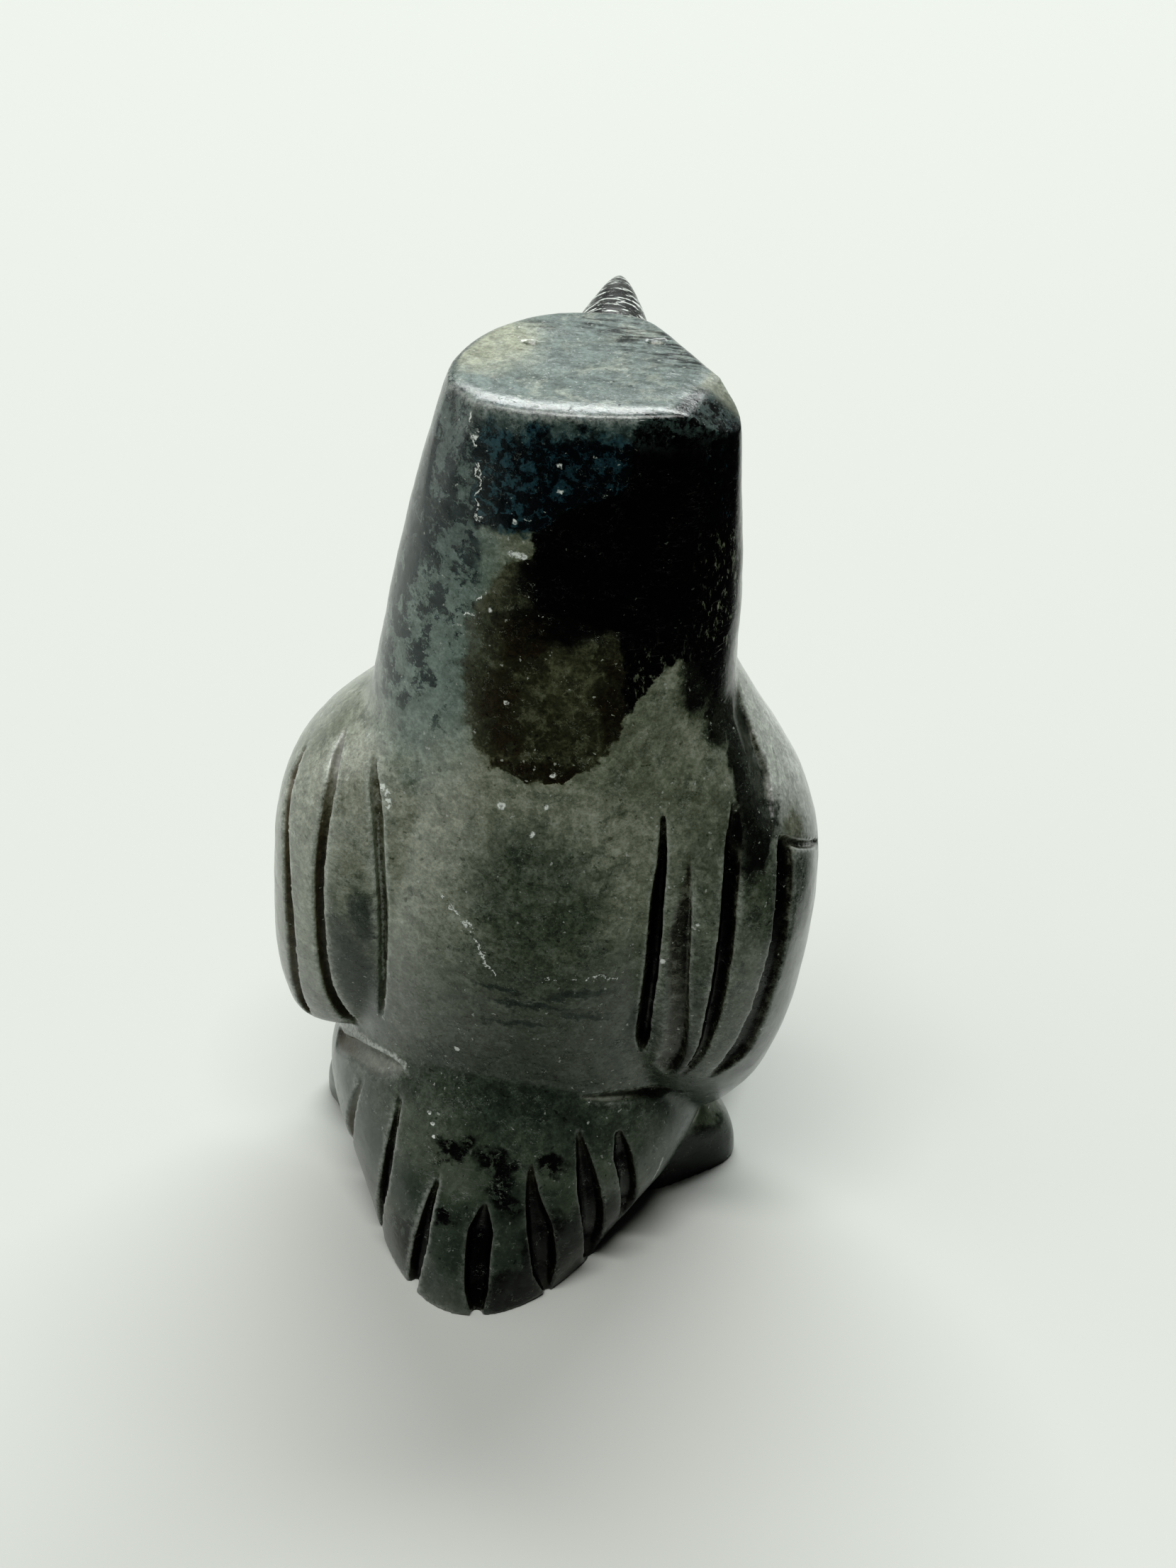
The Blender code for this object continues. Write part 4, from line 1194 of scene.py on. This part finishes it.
def soapstone():
    """Polished dark soapstone with its patches, worn edges and darkened cuts, and painted light, shade and
    highlights among its colours.
    """
    place = vector("SCALE", put("TexCoord", out=3), 1 / SHARE)
    carved, proud = (put("Attribute", out=2, attribute_name=name) for name in ("carved", "proud"))
    colour, (mottle, grain, dusty, lip, on_beak, lines) = stone_colour(place, carved, proud)
    _, y, z = parts_of(place)

    crown_edge = ramp(z, 71.9, 72.3) * ramp(z, 72.98, 72.9) * ramp(y, 0, 1.5)
    polish = ramp(mottle, 0.3, 0.75, *POLISH)
    roughness = polish + dusty * DUST_ROUGHNESS + lip * 0.06 - crown_edge * 0.05 + on_beak * 0.03
    hair_lines = strokes(place, (0.8, 0.8, 7), (0.3, 0.9, 0.2), 0.9, 4, 0.7, 13)
    pits = ramp(cloud(place, 2.6, 3, seed=53), 0.64, 0.72)
    chips = ramp(z, 66, 71) * cloud(place, 1.6, 4, 0.65, 67)
    relief = grain * 0.6 - ramp(hair_lines, 0.62, 0.74) * 0.5 - pits * 0.8
    relief = relief + on_beak * lines * 1.6 + chips * 0.8
    bumped = put("Bump", {"Strength": BUMP_STRENGTH, "Distance": BUMP_DEPTH, "Height": relief})
    sockets = {"Base Color": colour, "Roughness": roughness, "IOR": STONE_IOR, "Normal": bumped}
    output = TREE.nodes.new("ShaderNodeOutputMaterial")
    TREE.links.new(put("BsdfPrincipled", sockets).socket, output.inputs["Surface"])


def level_sheet(name, corners, height, colour, roughness, specular):
    """A flat sheet of the stage."""
    material = bpy.data.materials.new(name)
    material.use_nodes = True
    shader = material.node_tree.nodes["Principled BSDF"]
    shader.inputs["Base Color"].default_value = (*colour, 1.0)
    shader.inputs["Roughness"].default_value = roughness
    shader.inputs["Specular IOR Level"].default_value = specular
    mesh = bpy.data.meshes.new(name)
    mesh.from_pydata([(x, y, height) for x, y in corners], (), (range(len(corners)),))
    mesh.materials.append(material)
    sheet = add_object(name, mesh)
    return sheet


def floor():
    r = FLOOR_REACH
    level_sheet("floor", ((-r, -r), (r, -r), (r, r), (-r, r)), 0, FLOOR_COLOUR, 0.9, 0.1)


def dark_card():
    """Keeps the pale floor out of the polished back, as a photographer's dark flag does."""
    card = level_sheet("dark_card", CARD_CORNERS, CARD_HEIGHT, CARD_COLOUR, 1.0, 0.5)
    card.visible_camera = False
    card.visible_diffuse = False
    card.visible_shadow = False
    card.visible_transmission = False


def soft_light(name, place, target, width, height, brightness, colour):
    """A flat light that looks equally bright from everywhere, given by what it looks like from the object."""
    light = bpy.data.lights.new(name, "AREA")
    light.shape = "RECTANGLE"
    light.size, light.size_y = width, height
    light.energy = brightness * math.pi * width * height
    light.color = colour
    item = add_object(name, light)
    item.location = place
    item.rotation_euler = (Vector(place) - Vector(target)).to_track_quat("Z", "Y").to_euler()


def lighting():
    for row in LIGHTS:
        soft_light(*row)
    world = bpy.data.worlds.new("room")
    bpy.context.scene.world = world
    world.use_nodes = True
    room = world.node_tree.nodes["Background"]
    room.inputs["Color"].default_value = (*ROOM_COLOUR, 1.0)
    room.inputs["Strength"].default_value = ROOM_BRIGHTNESS


def camera():
    lens = bpy.data.cameras.new("camera")
    lens.sensor_fit = "VERTICAL"
    lens.sensor_height = SENSOR
    lens.lens = FOCAL_LENGTH
    lens.clip_start = 0.001
    item = add_object("camera", lens)
    azimuth, pitch = math.radians(CAMERA_AZIMUTH), math.radians(CAMERA_PITCH)
    level = math.cos(pitch)
    back = Vector((math.sin(azimuth) * level, -math.cos(azimuth) * level, math.sin(pitch)))
    item.location = CAMERA_PLACE
    item.rotation_euler = back.to_track_quat("Z", "Y").to_euler()
    bpy.context.scene.camera = item


def respond(settings):
    """Gives the picture the camera's response: deep shadows and plain highlights."""
    settings.view_transform = "Standard"
    settings.look = "None"
    settings.use_curve_mapping = True
    curve = settings.curve_mapping.curves[3]
    for place, value in RESPONSE[1:-1]:
        curve.points.new(place, value)
    settings.curve_mapping.update()


def main():
    stone = carve()
    stone.data.materials.clear()
    stone.data.materials.append(STONE)
    soapstone()
    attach(stone, "root")
    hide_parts("penguin_carving")
    floor()
    dark_card()
    lighting()
    camera()
    respond(bpy.context.scene.view_settings)


main()
